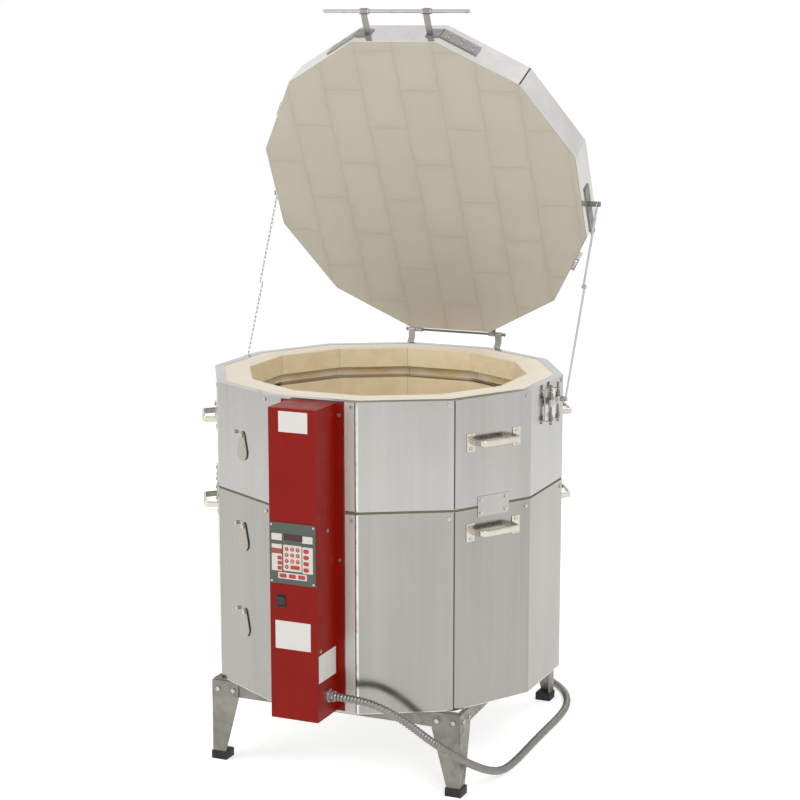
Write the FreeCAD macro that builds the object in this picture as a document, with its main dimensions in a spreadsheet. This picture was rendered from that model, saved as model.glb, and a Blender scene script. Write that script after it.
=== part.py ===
import FreeCAD
import Part
import Sketcher
import math
import os
import re
from FreeCAD import Placement, Rotation, Vector

# Top-loading ceramic kiln: twelve-sided, two stacked brick sections in steel jackets on a
# four-legged stand, with a propped lid, a control box on the front and a conduit-clad lead.
# Frame: +Z up, the control box faces -Y, the lid is hinged at +Y, z = 0 is the floor.
# Until it is placed, each piece is drawn about the kiln's own upright axis, lid closed.

doc = FreeCAD.newDocument("CeramicKiln")
dims = doc.addObject("Spreadsheet::Sheet", "Dims")

SIDES = 12
HALF_TURN = 180.0 / SIDES
UP = Vector(0, 0, 1)
RIGHT = Vector(1, 0, 0)
FRONT = Vector(0, -1, 0)

SIZES = [
    ("axis_setback", 16, "kiln axis behind the origin"),
    # casing and brick
    ("case_flats", 746, "casing across flats"),
    ("jacket_thick", 0.8, "steel jacket sheet"),
    ("brick_thick", 75.2, "wall brick, inside face to jacket"),
    ("brick_height", 114.3, "one course of brick"),
    ("brick_joint", 0.6, "dry joint between wall bricks"),
    ("floor_slab", 82.8, "brick floor slab"),
    ("base_plate", 1.2, "steel plate under the floor slab"),
    ("section_gap", 5, "bare gap between the two jackets"),
    ("lip_width", 20, "jacket lip folded over the rim"),
    ("groove_height", 26, "element groove, top to bottom"),
    ("groove_depth", 25, "element groove, into the brick"),
    ("lowest_groove", 25, "centre of the lowest groove above the chamber floor"),
    ("coil_radius", 7, "heating coil, outside radius"),
    ("coil_seat", 0.3, "coil clear of the groove's floor"),
    # peepholes and their covers
    ("peep_radius", 10, "peephole"),
    ("peep_drop", 36, "peephole centre under its cover's pivot"),
    ("peep_top_pivot", 100, "upper pivot under the rim"),
    ("peep_mid_pivot", 67, "middle pivot under the joint of the sections"),
    ("peep_low_pivot", 88, "lowest pivot above the chamber floor"),
    ("cover_thick", 2, "peephole cover"),
    ("cover_radius", 18.5, "round end of the cover"),
    ("cover_neck", 8.5, "narrow end of the cover"),
    ("cover_stand", 1, "washer behind the cover"),
    ("stop_offset", 27, "stop screw beside the pivot"),
    ("small_screw", 4, "head radius of small screws"),
    ("screw_proud", 2, "head height of small screws"),
    ("pivot_shank", 3, "radius of pivot screws"),
    ("pivot_play", 0.3, "clearance of a hole round its pin"),
    # stand
    ("stand_height", 184, "floor to the underside of the base plate"),
    ("front_half", 292, "front legs' corners, each side of the middle"),
    ("front_reach", 284, "front legs' corners in front of the axis"),
    ("rear_half", 258, "rear legs' corners, each side of the middle"),
    ("rear_reach", 395, "rear legs' corners behind the axis"),
    ("leg_top_width", 64, "leg wing at the top"),
    ("leg_foot_width", 31, "leg wing at the foot"),
    ("leg_thick", 2.5, "leg sheet"),
    ("leg_top_drop", 4, "leg's top edge under the base plate"),
    ("rail_height", 38, "upright flange of the rails"),
    ("rail_flange", 30, "level flange of the rails"),
    ("rail_thick", 3, "rail sheet"),
    ("rail_end_play", 0.5, "clearance at the rails' ends"),
    ("cap_height", 18, "rubber foot cap"),
    ("cap_wall", 2.2, "rubber cap wall and sole"),
    ("cap_play", 0.2, "cap's clearance round the leg"),
    ("bolt_near", 15, "first stand bolt from the leg's corner"),
    ("bolt_far", 52, "second stand bolt from the leg's corner"),
    ("bolt_head", 4.8, "stand bolt head radius"),
    ("bolt_proud", 3, "stand bolt head height"),
    # handles and joining plates on the casing
    ("handle_plate_width", 21, "handle base plate"),
    ("handle_plate_height", 38, "handle base plate"),
    ("handle_plate_thick", 1.6, "handle base plate"),
    ("handle_half_span", 60, "plate centres each side of the handle's middle"),
    ("handle_bar", 6.5, "thickness of the pull"),
    ("handle_bar_height", 13, "height of the pull"),
    ("handle_round", 2.6, "rounded edges of the pull"),
    ("handle_reach", 32, "pull's front out from the casing"),
    ("handle_bend", 13, "outer bend of the pull"),
    ("upper_handle_drop", 92, "upper handles under the rim"),
    ("lower_handle_drop", 51, "lower handles under the joint of the sections"),
    ("join_plate_width", 82, "joining plate across the sections"),
    ("join_plate_height", 43, "joining plate across the sections"),
    ("join_plate_thick", 1.5, "joining plate across the sections"),
    # lid and hinge
    ("lid_thick", 76, "brick lid"),
    ("lid_seat", 0.4, "closed lid clear of the rim"),
    ("lid_angle", 64, "lid open, degrees"),
    ("hinge_back", 24, "hinge line behind the casing"),
    ("hinge_rise", 27, "hinge line above the rim"),
    ("hinge_rod", 2.8, "hinge rod radius"),
    ("hinge_rod_half", 126, "hinge rod, half length"),
    ("hinge_eye_wall", 2.6, "rolled eye's sheet"),
    ("hinge_strap_width", 16, "hinge straps"),
    ("body_strap_at", 110, "body straps each side of the middle"),
    ("body_strap_drop", 78, "body straps' lower end under the rim"),
    ("lid_strap_at", 92, "lid straps each side of the middle"),
    ("lid_strap_rise", 40, "lid straps' upper end above the hinge line"),
    ("band_clamp_length", 34, "band clamp"),
    ("band_clamp_height", 30, "band clamp"),
    ("band_clamp_proud", 8, "band clamp out from the band"),
    # lid handle
    ("grab_rod", 4, "lid handle rod radius"),
    ("grab_rod_half", 170, "lid handle rod, half length"),
    ("grab_reach", 52, "lid handle rod in front of the band"),
    ("grab_height", 38, "lid handle rod above the lid's underside"),
    ("grab_arm_at", 73, "handle arms each side of the middle"),
    ("grab_arm_width", 14, "handle arms"),
    ("grab_sheet", 2.6, "handle arms' sheet"),
    ("grab_wing_length", 88, "bracket wing on the next face"),
    ("grab_wing_height", 34, "bracket wing"),
    # lid stay and chain
    ("stay_top_height", 38, "stay's top pin above the lid's underside"),
    ("stay_top_back", 37, "stay's top pin behind the lid's middle, lid closed"),
    ("stay_foot_back", 46, "stay's foot pin behind the axis"),
    ("stay_foot_drop", 43, "stay's foot pin under the rim"),
    ("stay_lower_share", 0.57, "lower link's share of the stay"),
    ("stay_width", 9, "stay links"),
    ("stay_thick", 2.4, "stay links"),
    ("stay_out", 20, "inner stay link out from the casing"),
    ("stay_gap", 0.6, "gap between the two stay links"),
    ("stay_pin", 3, "stay pin radius"),
    ("chain_top_height", 28, "chain's lid screw above the lid's underside"),
    ("chain_top_back", 34, "chain's lid screw behind the lid's middle, lid closed"),
    ("chain_foot_back", 82, "chain's body screw behind the axis"),
    ("chain_foot_drop", 11, "chain's body screw under the rim"),
    ("chain_lower_share", 0.452, "lower span's share of the chain"),
    ("chain_radius", 2, "chain, outside radius"),
    ("chain_out", 14, "chain out from the casing"),
    ("holder_sheet", 1.6, "stay bracket's sheet"),
    ("stud_radius", 2.6, "threaded studs of the stay bracket"),
    ("stud_length", 86, "threaded studs of the stay bracket"),
    ("stud_out", 11, "studs out from the casing"),
    ("stud_front", 10, "front stud ahead of the axis"),
    ("stud_back", 34, "rear stud behind the axis"),
    ("stud_top_drop", 4, "studs' upper end under the rim"),
    # control box
    ("box_width", 106, "control box"),
    ("box_depth", 90, "control box, front to chassis"),
    ("box_height", 648, "control box"),
    ("box_rise", 4, "control box's lower end above the base plate's underside"),
    ("box_sheet", 1.2, "control box sheet"),
    ("chassis_width", 140, "back chassis with its side flanges"),
    ("panel_width", 103, "controller plate"),
    ("panel_height", 127, "controller plate"),
    ("panel_thick", 2, "controller plate"),
    ("panel_rise", 350, "controller plate's middle above the box's lower end"),
    ("key_proud", 0.7, "keys and windows out from the controller plate"),
    ("rocker_drop", 36.5, "power switch's middle under the controller plate"),
    ("rocker_side", 28, "power switch left of the middle"),
    ("bezel_width", 21, "power switch frame"),
    ("bezel_height", 27, "power switch frame"),
    ("bezel_proud", 1.6, "power switch frame out from the box"),
    ("rocker_tilt", 8, "rocker tilt each way, degrees"),
    ("gland_rise", 46, "conduit outlet above the box's lower end"),
    ("end_screw", 24, "chassis screws from the box's ends"),
    ("middle_screw", 322, "middle chassis screws above the box's lower end"),
    ("gland_back", 44, "conduit outlet behind the box front"),
    ("gland_radius", 14, "conduit connector"),
    ("gland_length", 17, "conduit connector"),
    ("conduit_radius", 8.5, "flexible conduit"),
    ("coil_diameters", 11, "put-away coil, across the middle of its turns, in conduit diameters"),
    ("coil_lead", 64, "straight end of the coil before the plug"),
    ("probe_radius", 3.5, "thermocouple tube"),
    ("probe_inside", 24, "thermocouple past the inner wall"),
    ("probe_drop", 132, "thermocouple under the rim"),
]
for row, (alias, amount, note) in enumerate(SIZES, 1):
    dims.set(f"A{row}", note)
    dims.set(f"B{row}", str(amount))
    dims.setAlias(f"B{row}", alias)
doc.recompute()


def formula(text):
    """Point each size named in a text at its spreadsheet cell."""
    return re.sub(r"\b([a-z]+_\w+)\b", r"Dims.\1", str(text))


def amount_of(text):
    """Number that a text of sizes comes to."""
    return float(dims.evalExpression(formula(text)))


# Lengths that several pieces share
INNER_FLATS = "(case_flats - 2 * jacket_thick - 2 * brick_thick)"
APOTHEM = "case_flats / 2"
HALF_SIDE = f"(case_flats / 2 * tan({HALF_TURN} deg))"
FLOOR_TOP = "(stand_height + base_plate + floor_slab)"
JOINT_Z = "(stand_height + base_plate + floor_slab + 3 * brick_height)"
RIM_Z = "(stand_height + base_plate + floor_slab + 5 * brick_height + jacket_thick)"
LID_Z = f"({RIM_Z} + lid_seat)"
HINGE_Y = f"({APOTHEM} + hinge_back)"
HINGE_Z = f"({RIM_Z} + hinge_rise)"
BOX_FRONT = f"({APOTHEM} + box_sheet + box_depth)"
BOX_LOW = "(stand_height + box_rise)"
PANEL_MIDDLE = f"({BOX_LOW} + panel_rise)"
ROCKER_MIDDLE = f"({PANEL_MIDDLE} - panel_height / 2 - rocker_drop)"
GLAND_Z = f"({BOX_LOW} + gland_rise)"
OPEN_ANGLE = amount_of("lid_angle")

nodes = []
PLACES = {"x": "Placement.Base.x", "y": "Placement.Base.y", "z": "Placement.Base.z"}


def bind(thing, **links):
    """Tie properties to formulas of the sheet's sizes."""
    for name, text in links.items():
        thing.setExpression(PLACES.get(name, name), formula(text))
    return thing


def box(length, width, height, x=0, y=0, z=0):
    """Box with a corner at x, y, z."""
    block = doc.addObject("Part::Box", "Block")
    return bind(block, Length=length, Width=width, Height=height, x=x, y=y, z=z)


def rod(radius, height, x=0, y=0, z=0, along=UP):
    """Cylinder from x, y, z along a direction."""
    bar = doc.addObject("Part::Cylinder", "Bar")
    bar.Placement.Rotation = Rotation(UP, along)
    return bind(bar, Radius=radius, Height=height, x=x, y=y, z=z)


def prism(flats, height, z=0):
    """Twelve-sided prism on the axis, one flat facing the front."""
    drum = doc.addObject("Part::Prism", "Drum")
    drum.Polygon = SIDES
    drum.Placement.Rotation = Rotation(UP, HALF_TURN)
    return bind(drum, Circumradius=f"{flats} / 2 / cos({HALF_TURN} deg)", Height=height, z=z)


def cut(base, *tools):
    """Base less its tools."""
    for tool in tools:
        rest = doc.addObject("Part::Cut", "Rest")
        rest.Base = base
        rest.Tool = tool
        base = rest
    return base


def fuse(*pieces):
    """Pieces made one."""
    whole = doc.addObject("Part::MultiFuse", "Whole")
    whole.Shapes = list(pieces)
    return whole


def group(*pieces):
    """Separate solids that share one sub-part."""
    several = doc.addObject("Part::Compound", "Set")
    several.Links = list(pieces)
    return several


def turned(piece, angle, x=0, y=0, z=0, about=UP):
    """Piece turned about an upright line, then moved."""
    holder = group(piece)
    holder.Placement.Rotation = Rotation(about, angle)
    return bind(holder, x=x, y=y, z=z)


def sketch_on(body, role, corners):
    """Closed outline on an origin plane, each corner tied to the sheet."""
    plane = [f for f in body.Origin.OriginFeatures if f.Role == role][0]
    sketch = body.newObject("Sketcher::SketchObject", "Outline")
    sketch.AttachmentSupport = (plane, [""])
    sketch.MapMode = "FlatFace"
    points = [Vector(amount_of(a), amount_of(b), 0) for a, b in corners]
    count = len(points)
    for i in range(count):
        sketch.addGeometry(Part.LineSegment(points[i], points[(i + 1) % count]))
    for i in range(count):
        sketch.addConstraint(Sketcher.Constraint("Coincident", i, 2, (i + 1) % count, 1))
    for i, (a, b) in enumerate(corners):
        for kind, text, value in (("DistanceX", a, points[i].x), ("DistanceY", b, points[i].y)):
            number = sketch.addConstraint(Sketcher.Constraint(kind, -1, 1, i, 1, value))
            sketch.setExpression(f"Constraints[{number}]", formula(text))
    return sketch


def padded(role, corners, length, middle=False, reverse=False):
    """Body made by padding a closed outline."""
    body = doc.addObject("PartDesign::Body", "Solid")
    pad = body.newObject("PartDesign::Pad", "Pad")
    pad.Profile = sketch_on(body, role, corners)
    pad.Midplane = middle
    pad.Reversed = reverse
    bind(pad, Length=length)
    body.Tip = pad
    return body


def bent_path(points, bend):
    """Wire of straight runs joined by tangent arcs.

    A bend given as a number is used at every turn; otherwise each arc is as large as
    its two runs allow.
    """
    edges = []
    radii = []
    start = points[0]
    for before, here, after in zip(points, points[1:], points[2:]):
        into = (here - before).normalize()
        out = (after - here).normalize()
        half = into.getAngle(out) / 2
        if bend is None:
            reach = 0.45 * min(here.distanceToPoint(before), here.distanceToPoint(after))
        else:
            reach = bend * math.tan(half)
        radii.append(reach / math.tan(half))
        first = here - into * reach
        last = here + out * reach
        inward = (out - into).normalize()
        middle = here + inward * (radii[-1] / math.cos(half) - radii[-1])
        edges.append(Part.LineSegment(start, first).toShape())
        edges.append(Part.Arc(first, middle, last).toShape())
        start = last
    edges.append(Part.LineSegment(start, points[-1]).toShape())
    return Part.Wire(edges), radii


def bent_bar(radius, points, bend=None):
    """Round bar along straight runs and arcs."""
    path, radii = bent_path(points, bend)
    ring = Part.Wire(Part.makeCircle(radius, points[0], points[1] - points[0]))
    bar = doc.addObject("Part::Feature", "BentBar")
    bar.Shape = path.makePipeShell([ring], True, False)
    return bar, path, radii


def place(label, thing, azimuth=0, lid=False):
    """Name a sub-part and stand it in the kiln's frame."""
    spot = Placement(Vector(0, amount_of("axis_setback"), 0), Rotation())
    if lid:
        hinge = Vector(0, amount_of(HINGE_Y), amount_of(HINGE_Z))
        spot = spot * Placement(Vector(), Rotation(RIGHT, -OPEN_ANGLE), hinge)
    spot = spot * Placement(Vector(), Rotation(UP, azimuth))
    if thing.ExpressionEngine:
        thing = group(thing)
    thing.Placement = spot * thing.Placement
    thing.Label = label
    nodes.append(thing)
    return thing


# Brick wall

def saw():
    """Thin planes through the axis that part a ring into mitred bricks."""
    planes = []
    for k in range(SIDES // 2):
        blade = box("case_flats * 1.1", "brick_joint", f"{RIM_Z}", "-case_flats * 0.55", "-brick_joint / 2")
        planes.append(turned(blade, HALF_TURN + k * 360.0 / SIDES))
    return fuse(*planes)


def face_hole(radius, height, azimuth):
    """Hole square to one face of the wall."""
    return turned(rod(radius, f"{APOTHEM}", 0, 0, height, FRONT), azimuth)


def course(label, bottom, groove_middle, *holes):
    """One course of twelve bricks with its element groove."""
    ring = prism("(case_flats - 2 * jacket_thick)", "brick_height", bottom)
    bore = prism(INNER_FLATS, "brick_height + 2", f"{bottom} - 1")
    groove = prism(f"({INNER_FLATS} + 2 * groove_depth)", "groove_height",
                   f"{groove_middle} - groove_height / 2")
    return place(label, cut(ring, fuse(bore, groove), saw_planes, *holes))


def peep_hole(pivot_height):
    return face_hole("peep_radius", f"{pivot_height} - peep_drop", -30)


PEEPS = {
    "upper": f"({RIM_Z} - peep_top_pivot)",
    "middle": f"({JOINT_Z} - peep_mid_pivot)",
    "lower": f"({FLOOR_TOP} + peep_low_pivot)",
}
PROBE_Z = f"({RIM_Z} - probe_drop)"

saw_planes = saw()
place("base_plate", prism("case_flats", "base_plate", "stand_height"))
place("floor_slab", prism("(case_flats - 2 * jacket_thick)", "floor_slab", "stand_height + base_plate"))

COURSES = [
    ("lower_bricks_1", FLOOR_TOP, f"{FLOOR_TOP} + lowest_groove", [peep_hole(PEEPS["lower"])]),
    ("lower_bricks_2", f"{FLOOR_TOP} + brick_height", f"{FLOOR_TOP} + 1.5 * brick_height", []),
    ("lower_bricks_3", f"{FLOOR_TOP} + 2 * brick_height", f"{FLOOR_TOP} + 2.5 * brick_height",
     [peep_hole(PEEPS["middle"])]),
    ("upper_bricks_1", JOINT_Z, f"{JOINT_Z} + 0.5 * brick_height",
     [peep_hole(PEEPS["upper"]), face_hole("probe_radius + pivot_play", PROBE_Z, 0)]),
    ("upper_bricks_2", f"{JOINT_Z} + brick_height", f"{JOINT_Z} + 1.5 * brick_height", []),
]
for label, bottom, middle, holes in COURSES:
    course(label, bottom, middle, *holes)


# Steel jackets

def shell(bottom, top):
    """Twelve-sided sheet wall between two levels."""
    outside = prism("case_flats", f"{top} - {bottom}", bottom)
    inside = prism("(case_flats - 2 * jacket_thick)", f"{top} - {bottom} + 2", f"{bottom} - 1")
    return cut(outside, inside)


lip = cut(prism("case_flats", "jacket_thick", f"{RIM_Z} - jacket_thick"),
          prism("(case_flats - 2 * lip_width)", "jacket_thick + 2", f"{RIM_Z} - jacket_thick - 1"))
lower_wall = shell("(stand_height + base_plate)", f"({JOINT_Z} - section_gap / 2)")
upper_wall = shell(f"({JOINT_Z} + section_gap / 2)", f"({RIM_Z} - jacket_thick)")
place("lower_jacket", cut(lower_wall, peep_hole(PEEPS["middle"]), peep_hole(PEEPS["lower"])))
place("upper_jacket", cut(fuse(upper_wall, lip), peep_hole(PEEPS["upper"]),
                          face_hole("probe_radius + pivot_play", PROBE_Z, 0)))


# Heating coils, lying in their grooves

def coil(groove_middle):
    """Envelope of one coil: a round tube bent at the twelve corners."""
    reach = amount_of(f"{INNER_FLATS} / 2 + coil_radius + 5") / math.cos(math.radians(HALF_TURN))
    level = amount_of(f"{groove_middle} - groove_height / 2 + coil_radius + coil_seat")
    corners = []
    for k in range(SIDES):
        angle = math.radians(HALF_TURN + k * 360.0 / SIDES)
        corners.append(Vector(reach * math.sin(angle), -reach * math.cos(angle), level))
    runs = []
    for first, last in zip(corners, corners[1:] + corners[:1]):
        run = last - first
        runs.append(Part.makeCylinder(amount_of("coil_radius"), run.Length, first, run))
        runs.append(Part.makeSphere(amount_of("coil_radius"), first))
    tube = doc.addObject("Part::Feature", "Coil")
    tube.Shape = runs[0].multiFuse(runs[1:]).removeSplitter()
    return tube


place("lower_elements", group(*[coil(middle) for _, _, middle, _ in COURSES[:3]]))
place("upper_elements", group(*[coil(middle) for _, _, middle, _ in COURSES[3:]]))

# Thermocouple, through the front wall from the control box
probe_length = f"brick_thick + jacket_thick + box_sheet + probe_inside + 18"
place("thermocouple", fuse(
    rod("probe_radius", probe_length, 0, f"-{APOTHEM} - box_sheet - 18", PROBE_Z, Vector(0, 1, 0)),
    box(34, 20, 22, -17, f"-{APOTHEM} - box_sheet - 20", f"{PROBE_Z} - 11")))


# Stand

SIDE_TILT = math.degrees(math.atan2(amount_of("front_half - rear_half"),
                                    amount_of("front_reach + rear_reach")))
LEG_BOTTOM = "(cap_wall + cap_play)"
LEG_TOP = "(stand_height - leg_top_drop)"


def wing(turn, x, y, inward):
    """One tapered wing of a leg, from the corner along a direction."""
    corners = [(0, LEG_BOTTOM), ("leg_foot_width", LEG_BOTTOM), ("leg_foot_width", "cap_height"),
               ("leg_top_width", f"{LEG_TOP} - rail_height"), ("leg_top_width", LEG_TOP), (0, LEG_TOP)]
    plate = padded("XZ_Plane", corners, "leg_thick", reverse=inward)
    return turned(plate, turn, x, y)


def cap(square, first, second):
    """Square rubber cap with a slot for each wing of the leg's foot."""
    width = "(leg_foot_width + 2 * cap_wall + 2 * cap_play)"
    block = box(width, width, "cap_height", "-cap_wall - cap_play", "-cap_wall - cap_play")
    slots = []
    for turn, side in ((first, "-cap_play"), (second, "-leg_thick - cap_play")):
        slot = box("leg_foot_width + 2 * cap_play", "leg_thick + 2 * cap_play", "cap_height",
                   "-cap_play", side, "cap_wall")
        slots.append(turned(slot, turn))
    return cut(turned(block, square), *slots)


def stand_bolts(turn, x, y, outward):
    """Bolt heads outside a wing and nuts inside the rail behind it."""
    out = Vector(0, outward, 0)
    pieces = []
    for along in ("bolt_near", "bolt_far"):
        level = f"{LEG_TOP} - rail_height / 2"
        pieces.append(rod("bolt_head", "bolt_proud", along, 0, level, out))
        if along == "bolt_far":
            behind = f"{-outward} * (leg_thick + rail_thick)"
            pieces.append(rod("bolt_head", "bolt_proud", along, behind, level, out * -1))
    return [turned(piece, turn, x, y) for piece in pieces]


CORNERS = {
    "front_left": ("-front_half", "-front_reach", 0, 0, 90 - SIDE_TILT),
    "front_right": ("front_half", "-front_reach", 90, 90 + SIDE_TILT, 180),
    "rear_right": ("rear_half", "rear_reach", 180, 180, 270 + SIDE_TILT),
    "rear_left": ("-rear_half", "rear_reach", 270, 270 - SIDE_TILT, 360),
}
stand_hardware = []
caps = []
for corner, (x, y, square, first, second) in CORNERS.items():
    place(f"leg_{corner}", fuse(wing(first, x, y, True), wing(second, x, y, False)))
    caps.append(turned(cap(square, first, second), 0, x, y))
    stand_hardware += stand_bolts(first, x, y, -1) + stand_bolts(second, x, y, 1)
place("foot_caps", group(*caps))
place("stand_bolts", group(*stand_hardware))


def rail(half_length):
    """Angle-iron rail along X, its upright flange at y = 0 and its level flange behind."""
    upright = box(f"2 * {half_length}", "rail_thick", "rail_height", f"-{half_length}", 0,
                  "stand_height - rail_height")
    level = box(f"2 * ({half_length} - rail_flange)", "rail_flange", "rail_thick",
                f"-({half_length} - rail_flange)", 0, "stand_height - rail_thick")
    return fuse(upright, level)


rails = [turned(rail("(front_half - leg_thick - rail_end_play)"), 0, 0, "-front_reach + leg_thick"),
         turned(rail("(rear_half - leg_thick - rail_end_play)"), 180, 0, "rear_reach - leg_thick")]
side_half = (f"((front_reach + rear_reach) / 2 / cos({SIDE_TILT} deg)"
             " - leg_thick - rail_thick - rail_end_play)")
side_out = f"((front_half + rear_half) / 2 - leg_thick / cos({SIDE_TILT} deg))"
side_middle = "(rear_reach - front_reach) / 2"
rails.append(turned(rail(side_half), 90 + SIDE_TILT, side_out, side_middle))
rails.append(turned(rail(side_half), -90 - SIDE_TILT, f"-{side_out}", side_middle))
place("stand_rails", group(*rails))


# Handles and joining plates

def handle(level):
    """Cast pull on two base plates, on the front face: a flat loop with rounded edges."""
    plates = []
    for side in (-1, 1):
        plates.append(box("handle_plate_width", "handle_plate_thick", "handle_plate_height",
                          f"{side} * handle_half_span - handle_plate_width / 2",
                          f"-{APOTHEM} - handle_plate_thick", f"{level} - handle_plate_height / 2"))
    foot = -amount_of(f"{APOTHEM} + handle_plate_thick")
    half = amount_of("handle_half_span")
    bar = amount_of("handle_bar")
    far = -amount_of(f"{APOTHEM} + handle_reach")
    outer, _ = bent_path([Vector(4 - half, foot, 0), Vector(12 - half, far, 0), Vector(half - 12, far, 0),
                          Vector(half - 4, foot, 0)], amount_of("handle_bend"))
    inner, _ = bent_path([Vector(half - 4 - bar, foot, 0), Vector(half - 11 - bar, far + bar, 0),
                          Vector(11 + bar - half, far + bar, 0), Vector(4 + bar - half, foot, 0)],
                         amount_of("handle_bend - handle_bar"))
    ends = [Part.LineSegment(Vector(side * (half - 4), foot, 0),
                             Vector(side * (half - 4 - bar), foot, 0)).toShape()
            for side in (-1, 1)]
    outline = Part.Wire(Part.__sortEdges__(outer.Edges + inner.Edges + ends))
    loop = Part.Face(outline).extrude(Vector(0, 0, amount_of("handle_bar_height")))
    level_edges = [edge for edge in loop.Edges if abs(edge.tangentAt(edge.FirstParameter).z) < 0.5
                   and edge.CenterOfMass.y < foot - 0.1]
    pull = doc.addObject("Part::Feature", "Pull")
    pull.Shape = loop.makeFillet(amount_of("handle_round"), level_edges)
    return fuse(turned(pull, 0, 0, 0, f"{level} - handle_bar_height / 2"), *plates)


HANDLE_FACES = (60, 120, -120, -60)
UPPER_HANDLE_Z = f"({RIM_Z} - upper_handle_drop)"
LOWER_HANDLE_Z = f"({JOINT_Z} - lower_handle_drop)"
place("upper_handles", group(*[turned(handle(UPPER_HANDLE_Z), a) for a in HANDLE_FACES]))
place("lower_handles", group(*[turned(handle(LOWER_HANDLE_Z), a) for a in HANDLE_FACES]))

JOIN_FACES = (60, -60, 180)
join_plates = []
for azimuth in JOIN_FACES:
    plate = box("join_plate_width", "join_plate_thick", "join_plate_height", "-join_plate_width / 2",
                f"-{APOTHEM} - join_plate_thick", f"{JOINT_Z} - join_plate_height / 2")
    join_plates.append(turned(plate, azimuth))
place("joining_plates", group(*join_plates))


def face_screw(across, level, azimuth, standing=0):
    """Screw head on a face, or on a plate standing out from it."""
    head = rod("small_screw", "screw_proud", across, f"-{APOTHEM} - {standing}", level, FRONT)
    return turned(head, azimuth)


jacket_screws = []
for azimuth in HANDLE_FACES:
    for level in (UPPER_HANDLE_Z, LOWER_HANDLE_Z):
        for side in (-1, 1):
            for rise in (-1, 1):
                jacket_screws.append(face_screw(f"{side} * handle_half_span", f"{level} + {rise} * 13",
                                                azimuth, "handle_plate_thick"))
for azimuth in JOIN_FACES:
    for side in (-1, 1):
        for rise in (-1, 1):
            jacket_screws.append(face_screw(f"{side} * 32", f"{JOINT_Z} + {rise} * 13", azimuth,
                                            "join_plate_thick"))
for face in range(SIDES):
    for level in (f"{RIM_Z} - 10", f"{JOINT_Z} - 16"):
        jacket_screws.append(face_screw(f"{HALF_SIDE} - 12", level, face * 360.0 / SIDES))
place("jacket_screws", group(*jacket_screws))


# Peephole covers

def teardrop():
    """Cover outline: a round end under a narrow one, joined by tangents."""
    drop = amount_of("peep_drop")
    big = amount_of("cover_radius")
    small = amount_of("cover_neck")
    tilt = math.asin((big - small) / drop)
    side = Vector(math.cos(tilt), 0, math.sin(tilt))
    other = Vector(-side.x, 0, side.z)
    centre = Vector(0, 0, -drop)
    edges = [Part.LineSegment(centre + side * big, side * small).toShape(),
             Part.Arc(side * small, Vector(0, 0, small), other * small).toShape(),
             Part.LineSegment(other * small, centre + other * big).toShape(),
             Part.Arc(centre + other * big, centre - Vector(0, 0, big), centre + side * big).toShape()]
    return Part.Face(Part.Wire(edges))


COVER_FACE = f"({APOTHEM} + cover_stand)"
peep_screws = []
for name, level in PEEPS.items():
    leaf = doc.addObject("Part::Feature", "Leaf")
    leaf.Shape = teardrop().extrude(Vector(0, -amount_of("cover_thick"), 0))
    hole = rod("pivot_shank + pivot_play", "cover_thick + 2", 0, 1, 0, FRONT)
    cover = turned(cut(leaf, hole), 0, 0, f"-{COVER_FACE}", level)
    place(f"peephole_cover_{name}", cover, azimuth=-30)
    washer = rod("pivot_shank + 2", "cover_stand - 0.2", 0, f"-{APOTHEM}", level, FRONT)
    shank = rod("pivot_shank", "cover_stand + cover_thick + 0.3", 0, f"-{APOTHEM}", level, FRONT)
    head = rod("small_screw + 1", "screw_proud", 0, f"-{COVER_FACE} - cover_thick - 0.3", level, FRONT)
    stop = rod("small_screw", "cover_stand + cover_thick + screw_proud", "-stop_offset", f"-{APOTHEM}",
               f"{level} + 3", FRONT)
    peep_screws += [turned(fuse(washer, shank, head), -30), turned(stop, -30)]
place("peephole_screws", group(*peep_screws))


# Lid

place("lid_brick", prism("(case_flats - 2 * jacket_thick)", "lid_thick", LID_Z), lid=True)
place("lid_band", shell(LID_Z, f"({LID_Z} + lid_thick)"), lid=True)


def band_clamp(azimuth):
    """Folded clamp that draws the band's ends together."""
    leaf = box("band_clamp_length", "band_clamp_proud", "band_clamp_height", "-band_clamp_length / 2",
               f"-{APOTHEM} - band_clamp_proud", f"{LID_Z} + (lid_thick - band_clamp_height) / 2")
    slot = box("band_clamp_length - 8", "band_clamp_proud", "band_clamp_height + 2",
               "-band_clamp_length / 2 + 4", f"-{APOTHEM} - band_clamp_proud + 2",
               f"{LID_Z} + (lid_thick - band_clamp_height) / 2 - 1")
    return turned(cut(leaf, slot), azimuth)


place("lid_band_clamps", group(band_clamp(120), band_clamp(-60)), lid=True)

GRAB_Z = f"({LID_Z} + grab_height)"
GRAB_Y = f"({APOTHEM} + grab_reach)"


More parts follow.
